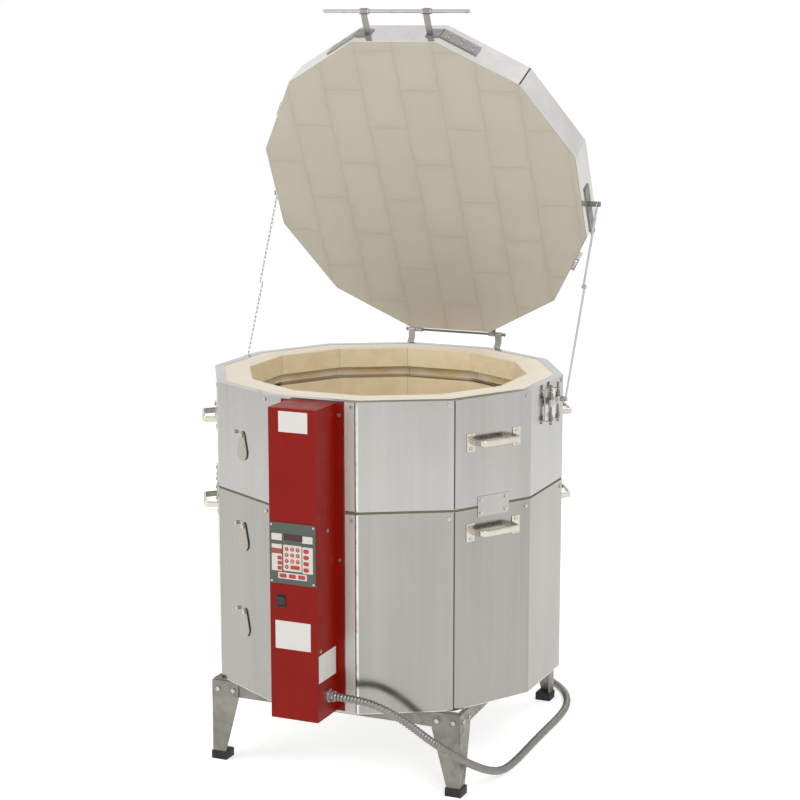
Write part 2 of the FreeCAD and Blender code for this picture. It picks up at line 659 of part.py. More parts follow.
def grab_arm(side):
    """Bracket round the lid's corner with an arm whose rolled eye holds the handle rod."""
    low = f"{GRAB_Z} - grab_wing_height / 2"
    inner = f"(grab_arm_at - grab_arm_width / 2)"
    front_plate = box(f"{HALF_SIDE} - {inner}", "grab_sheet", "grab_wing_height",
                      inner if side > 0 else f"-{HALF_SIDE}", f"-{APOTHEM} - grab_sheet", low)
    wing_plate = box("grab_wing_length", "grab_sheet", "grab_wing_height",
                     f"-{HALF_SIDE}" if side > 0 else f"{HALF_SIDE} - grab_wing_length",
                     f"-{APOTHEM} - grab_sheet", low)
    strip = box("grab_arm_width", "grab_reach - grab_rod", "grab_sheet",
                f"{side} * grab_arm_at - grab_arm_width / 2", f"-{GRAB_Y} + grab_rod",
                f"{GRAB_Z} - grab_rod - pivot_play - grab_sheet")
    eye = rod("grab_rod + pivot_play + grab_sheet", "grab_arm_width",
              f"{side} * grab_arm_at - grab_arm_width / 2", f"-{GRAB_Y}", GRAB_Z, RIGHT)
    bore = rod("grab_rod + pivot_play", "grab_arm_width + 2",
               f"{side} * grab_arm_at - grab_arm_width / 2 - 1", f"-{GRAB_Y}", GRAB_Z, RIGHT)
    return cut(fuse(front_plate, turned(wing_plate, side * 2 * HALF_TURN), strip, eye), bore)


place("lid_handle_arms", group(grab_arm(-1), grab_arm(1)), lid=True)
rivets = []
for side in (-1, 1):
    for rise in (-1, 1):
        level = f"{GRAB_Z} + {rise} * 9"
        rivets.append(rod(2.5, 1, f"{side} * ({HALF_SIDE} - 7)", f"-{APOTHEM} - grab_sheet", level, FRONT))
        for along in (16, 46, 74):
            rivets.append(turned(rod(2.5, 1, f"{side} * ({along} - {HALF_SIDE})",
                                     f"-{APOTHEM} - grab_sheet", level,
                                     FRONT), side * 2 * HALF_TURN))
place("lid_rivets", group(*rivets), lid=True)
collars = []
for side in (-1, 1):
    for edge in (-1, 1):
        start = f"{side} * grab_arm_at + {edge} * (grab_arm_width / 2 + 0.3) + {(edge - 1) / 2 * 4}"
        collars.append(rod("grab_rod + 2", 4, start, f"-{GRAB_Y}", GRAB_Z, RIGHT))
place("lid_handle_rod", fuse(rod("grab_rod", "2 * grab_rod_half",
                                 "-grab_rod_half", f"-{GRAB_Y}", GRAB_Z, RIGHT),
                             *collars), lid=True)


# Hinge

EYE = "(hinge_rod + pivot_play + hinge_eye_wall)"


def strap(middle, base_end, joggle_from, joggle_to):
    """Hinge strap: flat on the casing's back, bent out to a rolled eye round the rod."""
    wall = "hinge_eye_wall"
    near = APOTHEM
    far = f"{HINGE_Y} - {EYE}"
    corners = [(near, base_end), (near, joggle_from), (far, joggle_to), (far, HINGE_Z),
               (f"{far} + {wall}", HINGE_Z), (f"{far} + {wall}", joggle_to),
               (f"{near} + {wall}", joggle_from), (f"{near} + {wall}", base_end)]
    leaf = turned(padded("YZ_Plane", corners, "hinge_strap_width"), 0, f"{middle} - hinge_strap_width / 2")
    eye = rod(EYE, "hinge_strap_width", f"{middle} - hinge_strap_width / 2", HINGE_Y, HINGE_Z, RIGHT)
    bore = rod("hinge_rod + pivot_play", "hinge_strap_width + 2", f"{middle} - hinge_strap_width / 2 - 1",
               HINGE_Y, HINGE_Z, RIGHT)
    return cut(fuse(leaf, eye), bore)


place("hinge_straps", group(*[
    strap(f"{side} * body_strap_at", f"{RIM_Z} - body_strap_drop", f"{RIM_Z} - 14", f"{RIM_Z} + 8")
    for side in (-1, 1)]))
place("lid_straps", group(*[
    strap(f"{side} * lid_strap_at", f"{HINGE_Z} + lid_strap_rise", f"{HINGE_Z} + 24", f"{HINGE_Z} + 6")
    for side in (-1, 1)]), lid=True)
pins = []
for side in (-1, 1):
    pins.append(rod(1, "4 * hinge_rod", f"{side} * (hinge_rod_half - 3)", HINGE_Y,
                    f"{HINGE_Z} - 2 * hinge_rod"))
place("hinge_rod", fuse(rod("hinge_rod", "2 * hinge_rod_half",
                            "-hinge_rod_half", HINGE_Y, HINGE_Z, RIGHT), *pins))


# Lid stay on the right, chain on the left

def on_side(y, level):
    """Point in the plane of the kiln's side, by formulas."""
    return Vector(0, amount_of(y), amount_of(level))


def opened(point):
    """Where a point of the closed lid lies with the lid open."""
    hinge = on_side(HINGE_Y, HINGE_Z)
    return hinge + Rotation(RIGHT, -OPEN_ANGLE).multVec(point - hinge)


TOP_PIN = ("stay_top_back", f"({LID_Z} + stay_top_height)")
FOOT_PIN = ("stay_foot_back", f"({RIM_Z} - stay_foot_drop)")
CHAIN_TOP = ("chain_top_back", f"({LID_Z} + chain_top_height)")
CHAIN_FOOT = ("chain_foot_back", f"({RIM_Z} - chain_foot_drop)")
top_open = opened(on_side(*TOP_PIN))
STAY_X = f"({APOTHEM} + stay_out)"
OUTER_X = f"({APOTHEM} + stay_out + stay_thick + stay_gap)"


def link(first, last, x):
    """Flat bar with round ends, standing in an upright plane at x."""
    run = last - first
    half = amount_of("stay_width / 2")
    across = Vector(1, 0, 0).cross(run).normalize() * half
    along = Vector(run).normalize() * half
    edges = [Part.LineSegment(first + across, last + across).toShape(),
             Part.Arc(last + across, last + along, last - across).toShape(),
             Part.LineSegment(last - across, first - across).toShape(),
             Part.Arc(first - across, first - along, first + across).toShape()]
    face = Part.Face(Part.Wire(edges))
    bar = doc.addObject("Part::Feature", "Link")
    bar.Shape = face.extrude(Vector(amount_of("stay_thick"), 0, 0))
    return turned(bar, 0, x)


def side_rod(radius, length, x, point, side=1):
    """Round bar square to the side face, outward from x through a point."""
    start = f"{side} * ({x})"
    return rod(radius, length, start, point.y, point.z, RIGHT * side)


foot = on_side(*FOOT_PIN)
elbow = foot + (top_open - foot) * amount_of("stay_lower_share")
lower_bar = cut(link(foot, elbow, OUTER_X),
                side_rod("stay_pin + pivot_play", "stay_thick + 2", f"{OUTER_X} - 1", foot))
elbow_head = side_rod("stay_pin + 1.5", "screw_proud", f"{OUTER_X} + stay_thick", elbow)
place("stay_lower_link", fuse(lower_bar, elbow_head))
upper_bar = cut(link(elbow, top_open, STAY_X),
                side_rod("stay_pin + pivot_play", "stay_thick + 2", f"{STAY_X} - 1", top_open))
elbow_tail = side_rod("stay_pin + 1.5", "screw_proud", f"{STAY_X} - screw_proud", elbow)
place("stay_upper_link", fuse(upper_bar, elbow_tail))

# Lid's stay bracket, drawn with the lid closed
top_closed = on_side(*TOP_PIN)
lid_plate = box("grab_sheet", 121, 26, APOTHEM, -7, f"{TOP_PIN[1]} - 13")
lid_boss = side_rod("stay_pin + 3", f"stay_out - grab_sheet - 0.3", f"{APOTHEM} + grab_sheet", top_closed)
lid_pin = side_rod("stay_pin", "stay_out + stay_thick + 1", APOTHEM, top_closed)
lid_nut = side_rod("stay_pin + 3", 5, f"{STAY_X} + stay_thick + 0.3", top_closed)
place("lid_stay_bracket", fuse(lid_plate, lid_boss, lid_pin, lid_nut), lid=True)

# Body's stay bracket: a hat-shaped holder with two studs and a cross bar between wing nuts
STUD_TOP = f"({RIM_Z} - stud_top_drop)"
STUDS = ("-stud_front", "stud_back")
holder_front = "(-stud_front - 8)"
holder_length = "(stud_back + stud_front + 16)"
holder_low = f"({STUD_TOP} - stud_length + 4)"
back_leaf = box("holder_sheet", holder_length, "stud_length - 16", APOTHEM, holder_front, f"{holder_low} + 2")
lugs = []
for level in (f"{holder_low} + 2", f"{STUD_TOP} - 14"):
    for y in STUDS:
        lugs.append(box("stud_out + 5", 11, "holder_sheet", APOTHEM, f"{y} - 5.5", level))
bores = [rod("stud_radius + pivot_play", "stud_length + 4",
             f"{APOTHEM} + stud_out", y, f"{STUD_TOP} - stud_length - 2")
         for y in STUDS]
place("stay_bracket", cut(fuse(back_leaf, *lugs), *bores))
cross_bar = box(3, f"stay_foot_back + stud_front + 12", 16, f"{APOTHEM} + stud_out - 1.5", "-stud_front - 6",
                f"{FOOT_PIN[1]} - 8")
foot_boss = side_rod("stay_pin + 3", f"stay_out - stud_out + stay_thick + stay_gap - 1.5 - 0.3",
                     f"{APOTHEM} + stud_out + 1.5", foot)
foot_pin = side_rod("stay_pin", f"stay_out - stud_out + 2 * stay_thick + stay_gap + 1",
                    f"{APOTHEM} + stud_out", foot)
foot_head = side_rod("stay_pin + 2", "screw_proud", f"{OUTER_X} + stay_thick + 0.3", foot)
sleeves = [rod("stud_radius + 3", 16, f"{APOTHEM} + stud_out", y, f"{FOOT_PIN[1]} - 8") for y in STUDS]
place("stay_cross_bar", cut(fuse(cross_bar, foot_boss, foot_pin, foot_head, *sleeves), *bores))
studs = [rod("stud_radius", "stud_length", f"{APOTHEM} + stud_out", y, f"{STUD_TOP} - stud_length")
         for y in STUDS]


def wing_nut(y, level, spread):
    """Wing nut round a stud: a collar with two upswept ears."""
    collar = rod("stud_radius + 2", 6, f"{APOTHEM} + stud_out", y, level)
    ears = []
    for side in (-1, 1):
        ear = padded("YZ_Plane", [(3, 0), (9, 5), (11, 10), (8, 10), (5, 6), (3, 5)], 2, middle=True)
        ears.append(turned(ear, spread + (0 if side > 0 else 180), f"{APOTHEM} + stud_out", y, level))
    return fuse(collar, *ears)


ABOVE = f"({FOOT_PIN[1]} + 8.3)"
BELOW = f"({FOOT_PIN[1]} - 38)"
nuts = [[wing_nut(y, level, 0) for level in (ABOVE, BELOW)] for y in STUDS]
place("stay_studs", group(*[fuse(stud, *pair) for stud, pair in zip(studs, nuts)]))

# Chain: two straight spans when the lid is open
chain_foot = on_side(*CHAIN_FOOT)
chain_top_closed = on_side(*CHAIN_TOP)
chain_top = opened(chain_top_closed)
chain_middle = chain_foot + (chain_top - chain_foot) * amount_of("chain_lower_share")


def chain_span(first, last):
    """Straight span, drawn in the chain's plane and leaning out of it at the middle link."""
    run = last - first
    bar = doc.addObject("Part::Cylinder", "Span")
    bar.Placement = Placement(first, Rotation(UP, run))
    bind(bar, Radius="chain_radius")
    bar.Height = run.Length
    return turned(bar, 0, f"-{APOTHEM} - chain_out")


clear = (chain_top - chain_foot).normalize() * amount_of("stay_pin + 0.4")
aside = RIGHT * amount_of("chain_radius + 0.3")
place("chain_lower", chain_span(chain_foot + clear, chain_middle + aside))
place("chain_upper", chain_span(chain_middle - aside, chain_top - clear))
place("chain_foot_screw", fuse(
    side_rod("stay_pin", "chain_out + 5", APOTHEM, chain_foot, -1),
    side_rod("stay_pin + 2.5", 3, f"{APOTHEM} + chain_out + 4", chain_foot, -1),
    side_rod("stay_pin + 2.5", 3, APOTHEM, chain_foot, -1)))
place("chain_lid_screw", fuse(
    side_rod("stay_pin", "chain_out + 5", APOTHEM, chain_top_closed, -1),
    side_rod("stay_pin + 2.5", 3, f"{APOTHEM} + chain_out + 4", chain_top_closed, -1),
    side_rod("stay_pin + 2.5", 3, APOTHEM, chain_top_closed, -1)), lid=True)


# Control box

BACK_Y = f"({APOTHEM} + box_sheet)"
chassis = box("chassis_width", "box_sheet", "box_height", "-chassis_width / 2", f"-{BACK_Y}", BOX_LOW)
place("box_chassis", cut(chassis, rod("probe_radius + pivot_play", 20, 0, f"-{APOTHEM} + 5", PROBE_Z, FRONT)))
cover_block = box("box_width", "box_depth", "box_height", "-box_width / 2", f"-{BOX_FRONT}", BOX_LOW)
cover_room = box("box_width - 2 * box_sheet", "box_depth", "box_height - 2 * box_sheet",
                 "-box_width / 2 + box_sheet", f"-{BOX_FRONT} + box_sheet", f"{BOX_LOW} + box_sheet")
SWITCH_X = "-rocker_side"
GLAND_Y = f"({BOX_FRONT} - gland_back)"
PANEL_LOW = f"({PANEL_MIDDLE} - panel_height / 2)"
switch_hole = box("bezel_width - 4", "box_sheet + 2", "bezel_height - 4", f"{SWITCH_X} - bezel_width / 2 + 2",
                  f"-{BOX_FRONT} - 1", f"{ROCKER_MIDDLE} - bezel_height / 2 + 2")
panel_hole = box("panel_width - 24", "box_sheet + 2", "panel_height - 24", "-panel_width / 2 + 12",
                 f"-{BOX_FRONT} - 1", f"{PANEL_LOW} + 12")
gland_hole = rod("conduit_radius + 1", "box_sheet + 4", "box_width / 2 - box_sheet - 2", f"-{GLAND_Y}",
                 GLAND_Z, RIGHT)
place("box_cover", cut(cover_block, cover_room, switch_hole, panel_hole, gland_hole))

PANEL_Y = f"({BOX_FRONT} + panel_thick)"


def on_panel(width, height, across, level, proud="key_proud"):
    """Rectangular window or key on the controller plate, placed by its middle."""
    return box(width, proud, height, f"{across} - {width} / 2", f"-{PANEL_Y} - {proud}",
               f"{PANEL_MIDDLE} + {level} - {height} / 2")


def round_key(across, level):
    """Round key on the keypad film."""
    return rod(3.6, 0.5, across, f"-{PANEL_Y} - key_proud", f"{PANEL_MIDDLE} + {level}", FRONT)


def film_key(width, height, across, level):
    """Rectangular key on the keypad film."""
    return box(width, 0.5, height, f"{across} - {width} / 2", f"-{PANEL_Y} - key_proud - 0.5",
               f"{PANEL_MIDDLE} + {level} - {height} / 2")


plate = box("panel_width", "panel_thick", "panel_height", "-panel_width / 2", f"-{PANEL_Y}", PANEL_LOW)
place("controller_plate", plate)
place("controller_display", on_panel(42, 13, 1.5, 34.5))
films = [on_panel(41, 53, 0.5, -6.5), on_panel(17.5, 53, 32.5, -7), on_panel(23, 12.5, -34.5, 34),
         on_panel(23, 12.5, 35.5, 35), on_panel(23, 40, -34.5, -17), on_panel(67, 10.5, 0.5, -44)]
keys = []
for k, level in enumerate((10.5, -0.8, -12.2, -24.5)):
    for across in (-12.2, 0.4, 13.2):
        if level == -24.5 and across > -5:
            continue
        keys.append(round_key(across, level))
    keys.append(film_key(12, 6.5, 32.5, (12.5, 0, -13.5, -26.5)[k]))
    keys.append(film_key(17, 4.5, -34.5, -3 - 9 * k))
keys.append(film_key(20, 6, 6.5, -24.5))
keys.append(film_key(22, 7.5, -34.5, 8))
for across in (-21, 0.5, 22):
    keys.append(film_key(16, 6, across, -44))
place("controller_keys", group(*films, *keys))

frame = box("bezel_width", "bezel_proud", "bezel_height", f"{SWITCH_X} - bezel_width / 2",
            f"-{BOX_FRONT} - bezel_proud", f"{ROCKER_MIDDLE} - bezel_height / 2")
frame_room = box("bezel_width - 5", "bezel_proud + 30", "bezel_height - 5",
                 f"{SWITCH_X} - bezel_width / 2 + 2.5",
                 f"-{BOX_FRONT} - bezel_proud - 1", f"{ROCKER_MIDDLE} - bezel_height / 2 + 2.5")
barrel = box("bezel_width - 4.6", 18, "bezel_height - 4.6", f"{SWITCH_X} - bezel_width / 2 + 2.3",
             f"-{BOX_FRONT}", f"{ROCKER_MIDDLE} - bezel_height / 2 + 2.3")
barrel_room = box("bezel_width - 5", 14, "bezel_height - 5", f"{SWITCH_X} - bezel_width / 2 + 2.5",
                  f"-{BOX_FRONT} - 1", f"{ROCKER_MIDDLE} - bezel_height / 2 + 2.5")
place("switch_frame", fuse(cut(frame, frame_room), cut(barrel, barrel_room)))


def rocker():
    """Rocker: a shallow V in front, round behind, about its own axis."""
    half = amount_of("bezel_height / 2 - 3.8")
    lift = math.tan(math.radians(amount_of("rocker_tilt"))) * half
    points = [Vector(0, -1.5, 0), Vector(0, -1.5 - 2 * lift, half), Vector(0, 4, half - 1), Vector(0, 9, 0),
              Vector(0, 4, 1 - half), Vector(0, -1.5 - 0.2 * lift, -half)]
    face = Part.Face(Part.makePolygon(points + points[:1]))
    paddle = doc.addObject("Part::Feature", "Paddle")
    paddle.Shape = face.extrude(Vector(amount_of("bezel_width - 6"), 0, 0))
    pivot = rod(1.6, "bezel_width - 5.2", -0.4, 0, 0, RIGHT)
    return turned(fuse(paddle, pivot), 0,
                  f"{SWITCH_X} - (bezel_width - 6) / 2", f"-{BOX_FRONT}", ROCKER_MIDDLE)


place("power_rocker", rocker())

# Conduit connector on the box's right side
gland_x = "(box_width / 2)"
gland = fuse(rod("gland_radius", 6, gland_x, f"-{GLAND_Y}", GLAND_Z, RIGHT),
             rod("gland_radius - 2.5", "gland_length", gland_x, f"-{GLAND_Y}", GLAND_Z, RIGHT),
             rod("conduit_radius + 0.7", "gland_length + 5", f"{gland_x} - 5", f"-{GLAND_Y}", GLAND_Z, RIGHT),
             rod("gland_radius", 3, f"{gland_x} - box_sheet - 3", f"-{GLAND_Y}", GLAND_Z, RIGHT))
place("conduit_connector", gland)

# Relays and transformer on the chassis
IN_Y = f"(-{BACK_Y})"


def mounted(width, depth, height, across, level):
    """Block screwed to the chassis, inside the box."""
    return box(width, depth, height, f"{across} - {width} / 2", f"{IN_Y} - {depth}", level)


fittings = [fuse(mounted(48, 40, 62, 0, f"{BOX_LOW} + {rise}"), mounted(64, 3, 62, 0, f"{BOX_LOW} + {rise}"))
            for rise in (142, 412)]
fittings.append(fuse(mounted(52, 44, 50, 8, f"{BOX_LOW} + 37"), mounted(72, 3, 50, 8, f"{BOX_LOW} + 37")))
place("box_fittings", group(*fittings))
box_screws = []
flange_middle = "(box_width + chassis_width) / 4"
for level in ("box_height - end_screw", "middle_screw", "end_screw"):
    for side in (-1, 1):
        box_screws.append(rod("small_screw", "screw_proud", f"{side} * {flange_middle}", f"-{BACK_Y}",
                              f"{BOX_LOW} + {level}", FRONT))
for level, back in ((f"{PANEL_MIDDLE} + 43", 48), (f"{BOX_LOW} + 149", 12)):
    for side in (-1, 1):
        box_screws.append(rod("small_screw", "screw_proud",
                              f"{side} * box_width / 2", f"-{BOX_FRONT} + {back}", level,
                              RIGHT * side))
for side in (-1, 1):
    for rise in (-1, 1):
        box_screws.append(rod(2.4, 1.2, f"{side} * (panel_width / 2 - 4.5)", f"-{PANEL_Y}",
                              f"{PANEL_MIDDLE} + {rise} * (panel_height / 2 - 5)", FRONT))
place("box_screws", group(*box_screws))


# Conduit: from the connector, round the front right leg, along the right side and behind

LYING = "conduit_radius"
START = Vector(amount_of("box_width / 2 + gland_length"), -amount_of(GLAND_Y), amount_of(GLAND_Z))
ON_FLOOR = amount_of(LYING)
COIL_MIDDLE = Vector(20, 622, 0)
COIL_RADIUS = amount_of("coil_diameters * conduit_radius")
ROUTE = [
    START,
    START + Vector(52, 0, 0),
    Vector(177, -418, 223),
    Vector(224, -403, 193),
    Vector(262, -372, 150),
    Vector(291, -325, 108),
    Vector(312, -268, 70),
    Vector(325, -206, 37),
    Vector(331, -138, 14),
    Vector(331, -64, ON_FLOOR),
    Vector(329, 12, ON_FLOOR),
    Vector(326, 92, ON_FLOOR),
    Vector(325, 170, ON_FLOOR),
    Vector(324, 244, ON_FLOOR),
    Vector(318, 312, ON_FLOOR),
    Vector(302, 372, ON_FLOOR),
    Vector(275, 425, ON_FLOOR),
    Vector(238, 471, ON_FLOOR),
    Vector(186, 509, ON_FLOOR),
    Vector(128, COIL_MIDDLE.y - COIL_RADIUS, ON_FLOOR),
    Vector(76, COIL_MIDDLE.y - COIL_RADIUS, ON_FLOOR),
]
tube, tube_path, tube_radii = bent_bar(amount_of("conduit_radius"), ROUTE)
section = math.pi * amount_of("conduit_radius") ** 2
print("conduit bends", [round(radius) for radius in tube_radii], "length", round(tube_path.Length))
print("conduit volume over section times length", round(tube.Shape.Volume / (section * tube_path.Length), 4))
place("conduit", tube)


def coiled():
    """Outer shape of the put-away turns, two deep, as a ring with round edges."""
    thick = amount_of("conduit_radius")
    middle = COIL_RADIUS
    low = Vector(middle + thick, 0, thick)
    high = Vector(middle + thick, 0, 3 * thick)
    inner_high = Vector(middle - thick, 0, 3 * thick)
    inner_low = Vector(middle - thick, 0, thick)
    edges = [Part.LineSegment(low, high).toShape(),
             Part.Arc(high, Vector(middle, 0, 4 * thick), inner_high).toShape(),
             Part.LineSegment(inner_high, inner_low).toShape(),
             Part.Arc(inner_low, Vector(middle, 0, 0), low).toShape()]
    turns = doc.addObject("Part::Feature", "Turns")
    turns.Shape = Part.Face(Part.Wire(edges)).revolve(Vector(), UP, 360)
    return turned(turns, 0, COIL_MIDDLE.x, COIL_MIDDLE.y)


# Square leads carry the coil's ends to the tube and the plug
END_HALF = amount_of("conduit_radius - 0.5")
lead_in = box(ROUTE[-1].x - COIL_MIDDLE.x, 2 * END_HALF, 2 * END_HALF,
              COIL_MIDDLE.x, ROUTE[-1].y - END_HALF, ON_FLOOR - END_HALF)
lead_out = box(2 * END_HALF, "coil_lead", 2 * END_HALF,
               COIL_MIDDLE.x - COIL_RADIUS - END_HALF, COIL_MIDDLE.y, 3 * ON_FLOOR - END_HALF)
place("conduit_coil", fuse(coiled(), lead_in, lead_out))

# Plug at the end of the lead, lying beside the coil, drawn pointing along X
PLUG_Z = f"(3 * {LYING})"
PLUG_BODY = [(0, -16), (12, -27), (46, -27), (46, 27), (12, 27), (0, 16)]
sleeve = rod("conduit_radius + 3", 22, 0, 0, PLUG_Z, RIGHT)
grip = turned(padded("XY_Plane", PLUG_BODY, f"2 * {PLUG_Z}"), 0, 18)
blades = [box(25, 2.4, 17, 64, f"{across} - 1.2", f"{PLUG_Z} - 13.5") for across in (-11, 11)]
blades.append(rod(3.6, 27, 64, 0, f"{PLUG_Z} + 15", RIGHT))
for label, piece in (("plug", fuse(sleeve, grip)), ("plug_blades", group(*blades))):
    place(label, turned(piece, 90, COIL_MIDDLE.x - COIL_RADIUS, f"{COIL_MIDDLE.y} + coil_lead"))

# Check every sub-part and write it out
doc.recompute()
os.makedirs("parts", exist_ok=True)
for thing in doc.Objects:
    for trouble in ("Invalid", "Error"):
        if trouble in thing.State:
            raise RuntimeError(f"{thing.Name} ({thing.Label}) is {trouble}")
reach = FreeCAD.BoundBox()
solids = 0
for thing in nodes:
    shape = thing.Shape
    if shape.isNull() or not shape.isValid() or not shape.Solids:
        raise RuntimeError(f"{thing.Label} has no valid solid")
    solids += len(shape.Solids)
    if not thing.Label.startswith(("conduit", "plug")) or thing.Label == "conduit_connector":
        reach.add(shape.BoundBox)
    shape.exportStep(f"parts/{thing.Label}.step")
print(len(nodes), "sub-parts,", solids, "solids")
print("without the lead:", [round(n, 1) for n in (reach.XMin, reach.XMax, reach.YMin, reach.YMax,
                                                  reach.ZMin, reach.ZMax)])
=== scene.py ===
import bmesh
import bpy
import math
from mathutils import Matrix, Vector


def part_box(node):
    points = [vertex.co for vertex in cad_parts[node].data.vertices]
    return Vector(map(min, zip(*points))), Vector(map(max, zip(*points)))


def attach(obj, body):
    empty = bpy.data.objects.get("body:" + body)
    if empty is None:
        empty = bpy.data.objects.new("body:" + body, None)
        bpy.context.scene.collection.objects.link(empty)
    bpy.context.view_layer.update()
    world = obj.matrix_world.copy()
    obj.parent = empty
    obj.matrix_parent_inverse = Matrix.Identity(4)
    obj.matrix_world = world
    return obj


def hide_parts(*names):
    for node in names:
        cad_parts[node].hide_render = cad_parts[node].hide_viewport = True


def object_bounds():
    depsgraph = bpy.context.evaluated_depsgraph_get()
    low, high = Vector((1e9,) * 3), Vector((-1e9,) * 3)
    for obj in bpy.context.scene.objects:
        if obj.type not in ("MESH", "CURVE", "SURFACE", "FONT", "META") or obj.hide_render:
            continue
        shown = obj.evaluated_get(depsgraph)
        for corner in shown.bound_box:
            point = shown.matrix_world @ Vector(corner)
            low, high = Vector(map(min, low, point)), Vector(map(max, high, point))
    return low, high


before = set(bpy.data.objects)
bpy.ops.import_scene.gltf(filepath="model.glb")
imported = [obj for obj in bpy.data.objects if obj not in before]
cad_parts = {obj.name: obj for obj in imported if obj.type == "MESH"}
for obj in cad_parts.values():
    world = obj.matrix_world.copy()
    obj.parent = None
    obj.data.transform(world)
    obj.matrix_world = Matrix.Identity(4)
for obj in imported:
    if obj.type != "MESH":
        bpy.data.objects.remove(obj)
cad_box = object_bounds()

# Sizes in metres. The kiln's upright axis stands SETBACK behind the frame's origin.
MM = 0.001
SETBACK = 0.016
AXIS = Vector((0, SETBACK, 0))
UP = Vector((0, 0, 1))
SIDES = 12
HALF_SIDE = 180 / SIDES
APOTHEM = 0.373
SHEET = 0.0008
WALL = 0.0752
GROOVE_DEPTH = 0.025
CHAMBER_RADIUS = APOTHEM - SHEET - WALL
GROOVE_RADIUS = CHAMBER_RADIUS + GROOVE_DEPTH
JACKET_GAP_RADIUS = 0.369
RIM_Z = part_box("upper_jacket")[1][2]
FLOOR_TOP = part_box("floor_slab")[1][2]
COURSE = 0.1143
LID_OPEN = math.radians(64)


# Meshes

def add_piece(name, mesh, body, material, smooth=True):
    """Object from a mesh that rides on a body."""
    piece = bpy.data.objects.new(name, mesh)
    bpy.context.scene.collection.objects.link(piece)
    piece.data.materials.append(material)
    if smooth:
        for polygon in mesh.polygons:
            polygon.use_smooth = True
    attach(piece, body)
    return piece


def mesh_of(name, vertices, faces):
    """Mesh from lists of vertices and faces."""
    mesh = bpy.data.meshes.new(name)
    mesh.from_pydata([tuple(v) for v in vertices], [], faces)
    mesh.update()
    return mesh


def frames_along(points, closed):
    """Direction and two cross directions at each point, turning as little as possible."""
    count = len(points)
    tangents = []
    for i in range(count):
        before = points[i - 1] if i or closed else points[0]
        after = points[(i + 1) % count] if i < count - 1 or closed else points[-1]
        tangents.append((after - before).normalized())
    start = UP if abs(tangents[0].z) < 0.9 else Vector((1, 0, 0))
    side = tangents[0].cross(start).normalized()
    result = []
    for tangent in tangents:
        side = (side - tangent * side.dot(tangent)).normalized()
        result.append((tangent, side, tangent.cross(side)))
    return result


def tube(points, radii, around=12, closed=False):
    """Vertices and faces of a round tube along points."""
    if isinstance(radii, float):
        radii = [radii] * len(points)
    vertices = []
    for point, radius, (_, side, up) in zip(points, radii, frames_along(points, closed)):
        for k in range(around):
            angle = 2 * math.pi * k / around
            vertices.append(point + side * radius * math.cos(angle) + up * radius * math.sin(angle))
    faces = []
    rings = len(points)
    for i in range(rings if closed else rings - 1):
        a = i * around
        b = ((i + 1) % rings) * around
        for k in range(around):
            n = (k + 1) % around
            faces.append((a + k, a + n, b + n, b + k))
    if not closed:
        faces.append(tuple(reversed(range(around))))
        faces.append(tuple(range((rings - 1) * around, rings * around)))
    return vertices, faces


def joined(parts):
    """One list of vertices and faces from several."""
    vertices = []
    faces = []
    for some, their_faces in parts:
        shift = len(vertices)
        vertices += some
        faces += [tuple(i + shift for i in face) for face in their_faces]
    return vertices, faces


def from_curve(curve):
    """Vertices and faces of a curve or text, which is removed again."""
    holder = bpy.data.objects.new(curve.name, curve)
    shape = bpy.data.meshes.new_from_object(holder)
    vertices = [v.co.copy() for v in shape.vertices]
    faces = [tuple(polygon.vertices) for polygon in shape.polygons]
    bpy.data.objects.remove(holder)
    bpy.data.meshes.remove(shape)
    bpy.data.curves.remove(curve)
    return vertices, faces


def slab(low, high, bevel):
    """Box with rounded edges."""
    work = bmesh.new()
    bmesh.ops.create_cube(work, size=1)
    size = Vector(high) - Vector(low)
    middle = (Vector(high) + Vector(low)) / 2
    bmesh.ops.scale(work, vec=size, verts=work.verts)
    bmesh.ops.translate(work, vec=middle, verts=work.verts)
    bmesh.ops.bevel(work, geom=work.edges[:], offset=bevel, segments=2, affect="EDGES", profile=0.6)
    work.verts.ensure_lookup_table()
    vertices = [v.co.copy() for v in work.verts]
    faces = [tuple(v.index for v in f.verts) for f in work.faces]
    work.free()
    return vertices, faces


# Materials

def linear(red, green, blue):
    """Linear colour of an sRGB one given in 0 to 255."""
    result = []
    for part in (red, green, blue):
        part /= 255
        result.append(part / 12.92 if part <= 0.04045 else ((part + 0.055) / 1.055) ** 2.4)
    return (*result, 1)


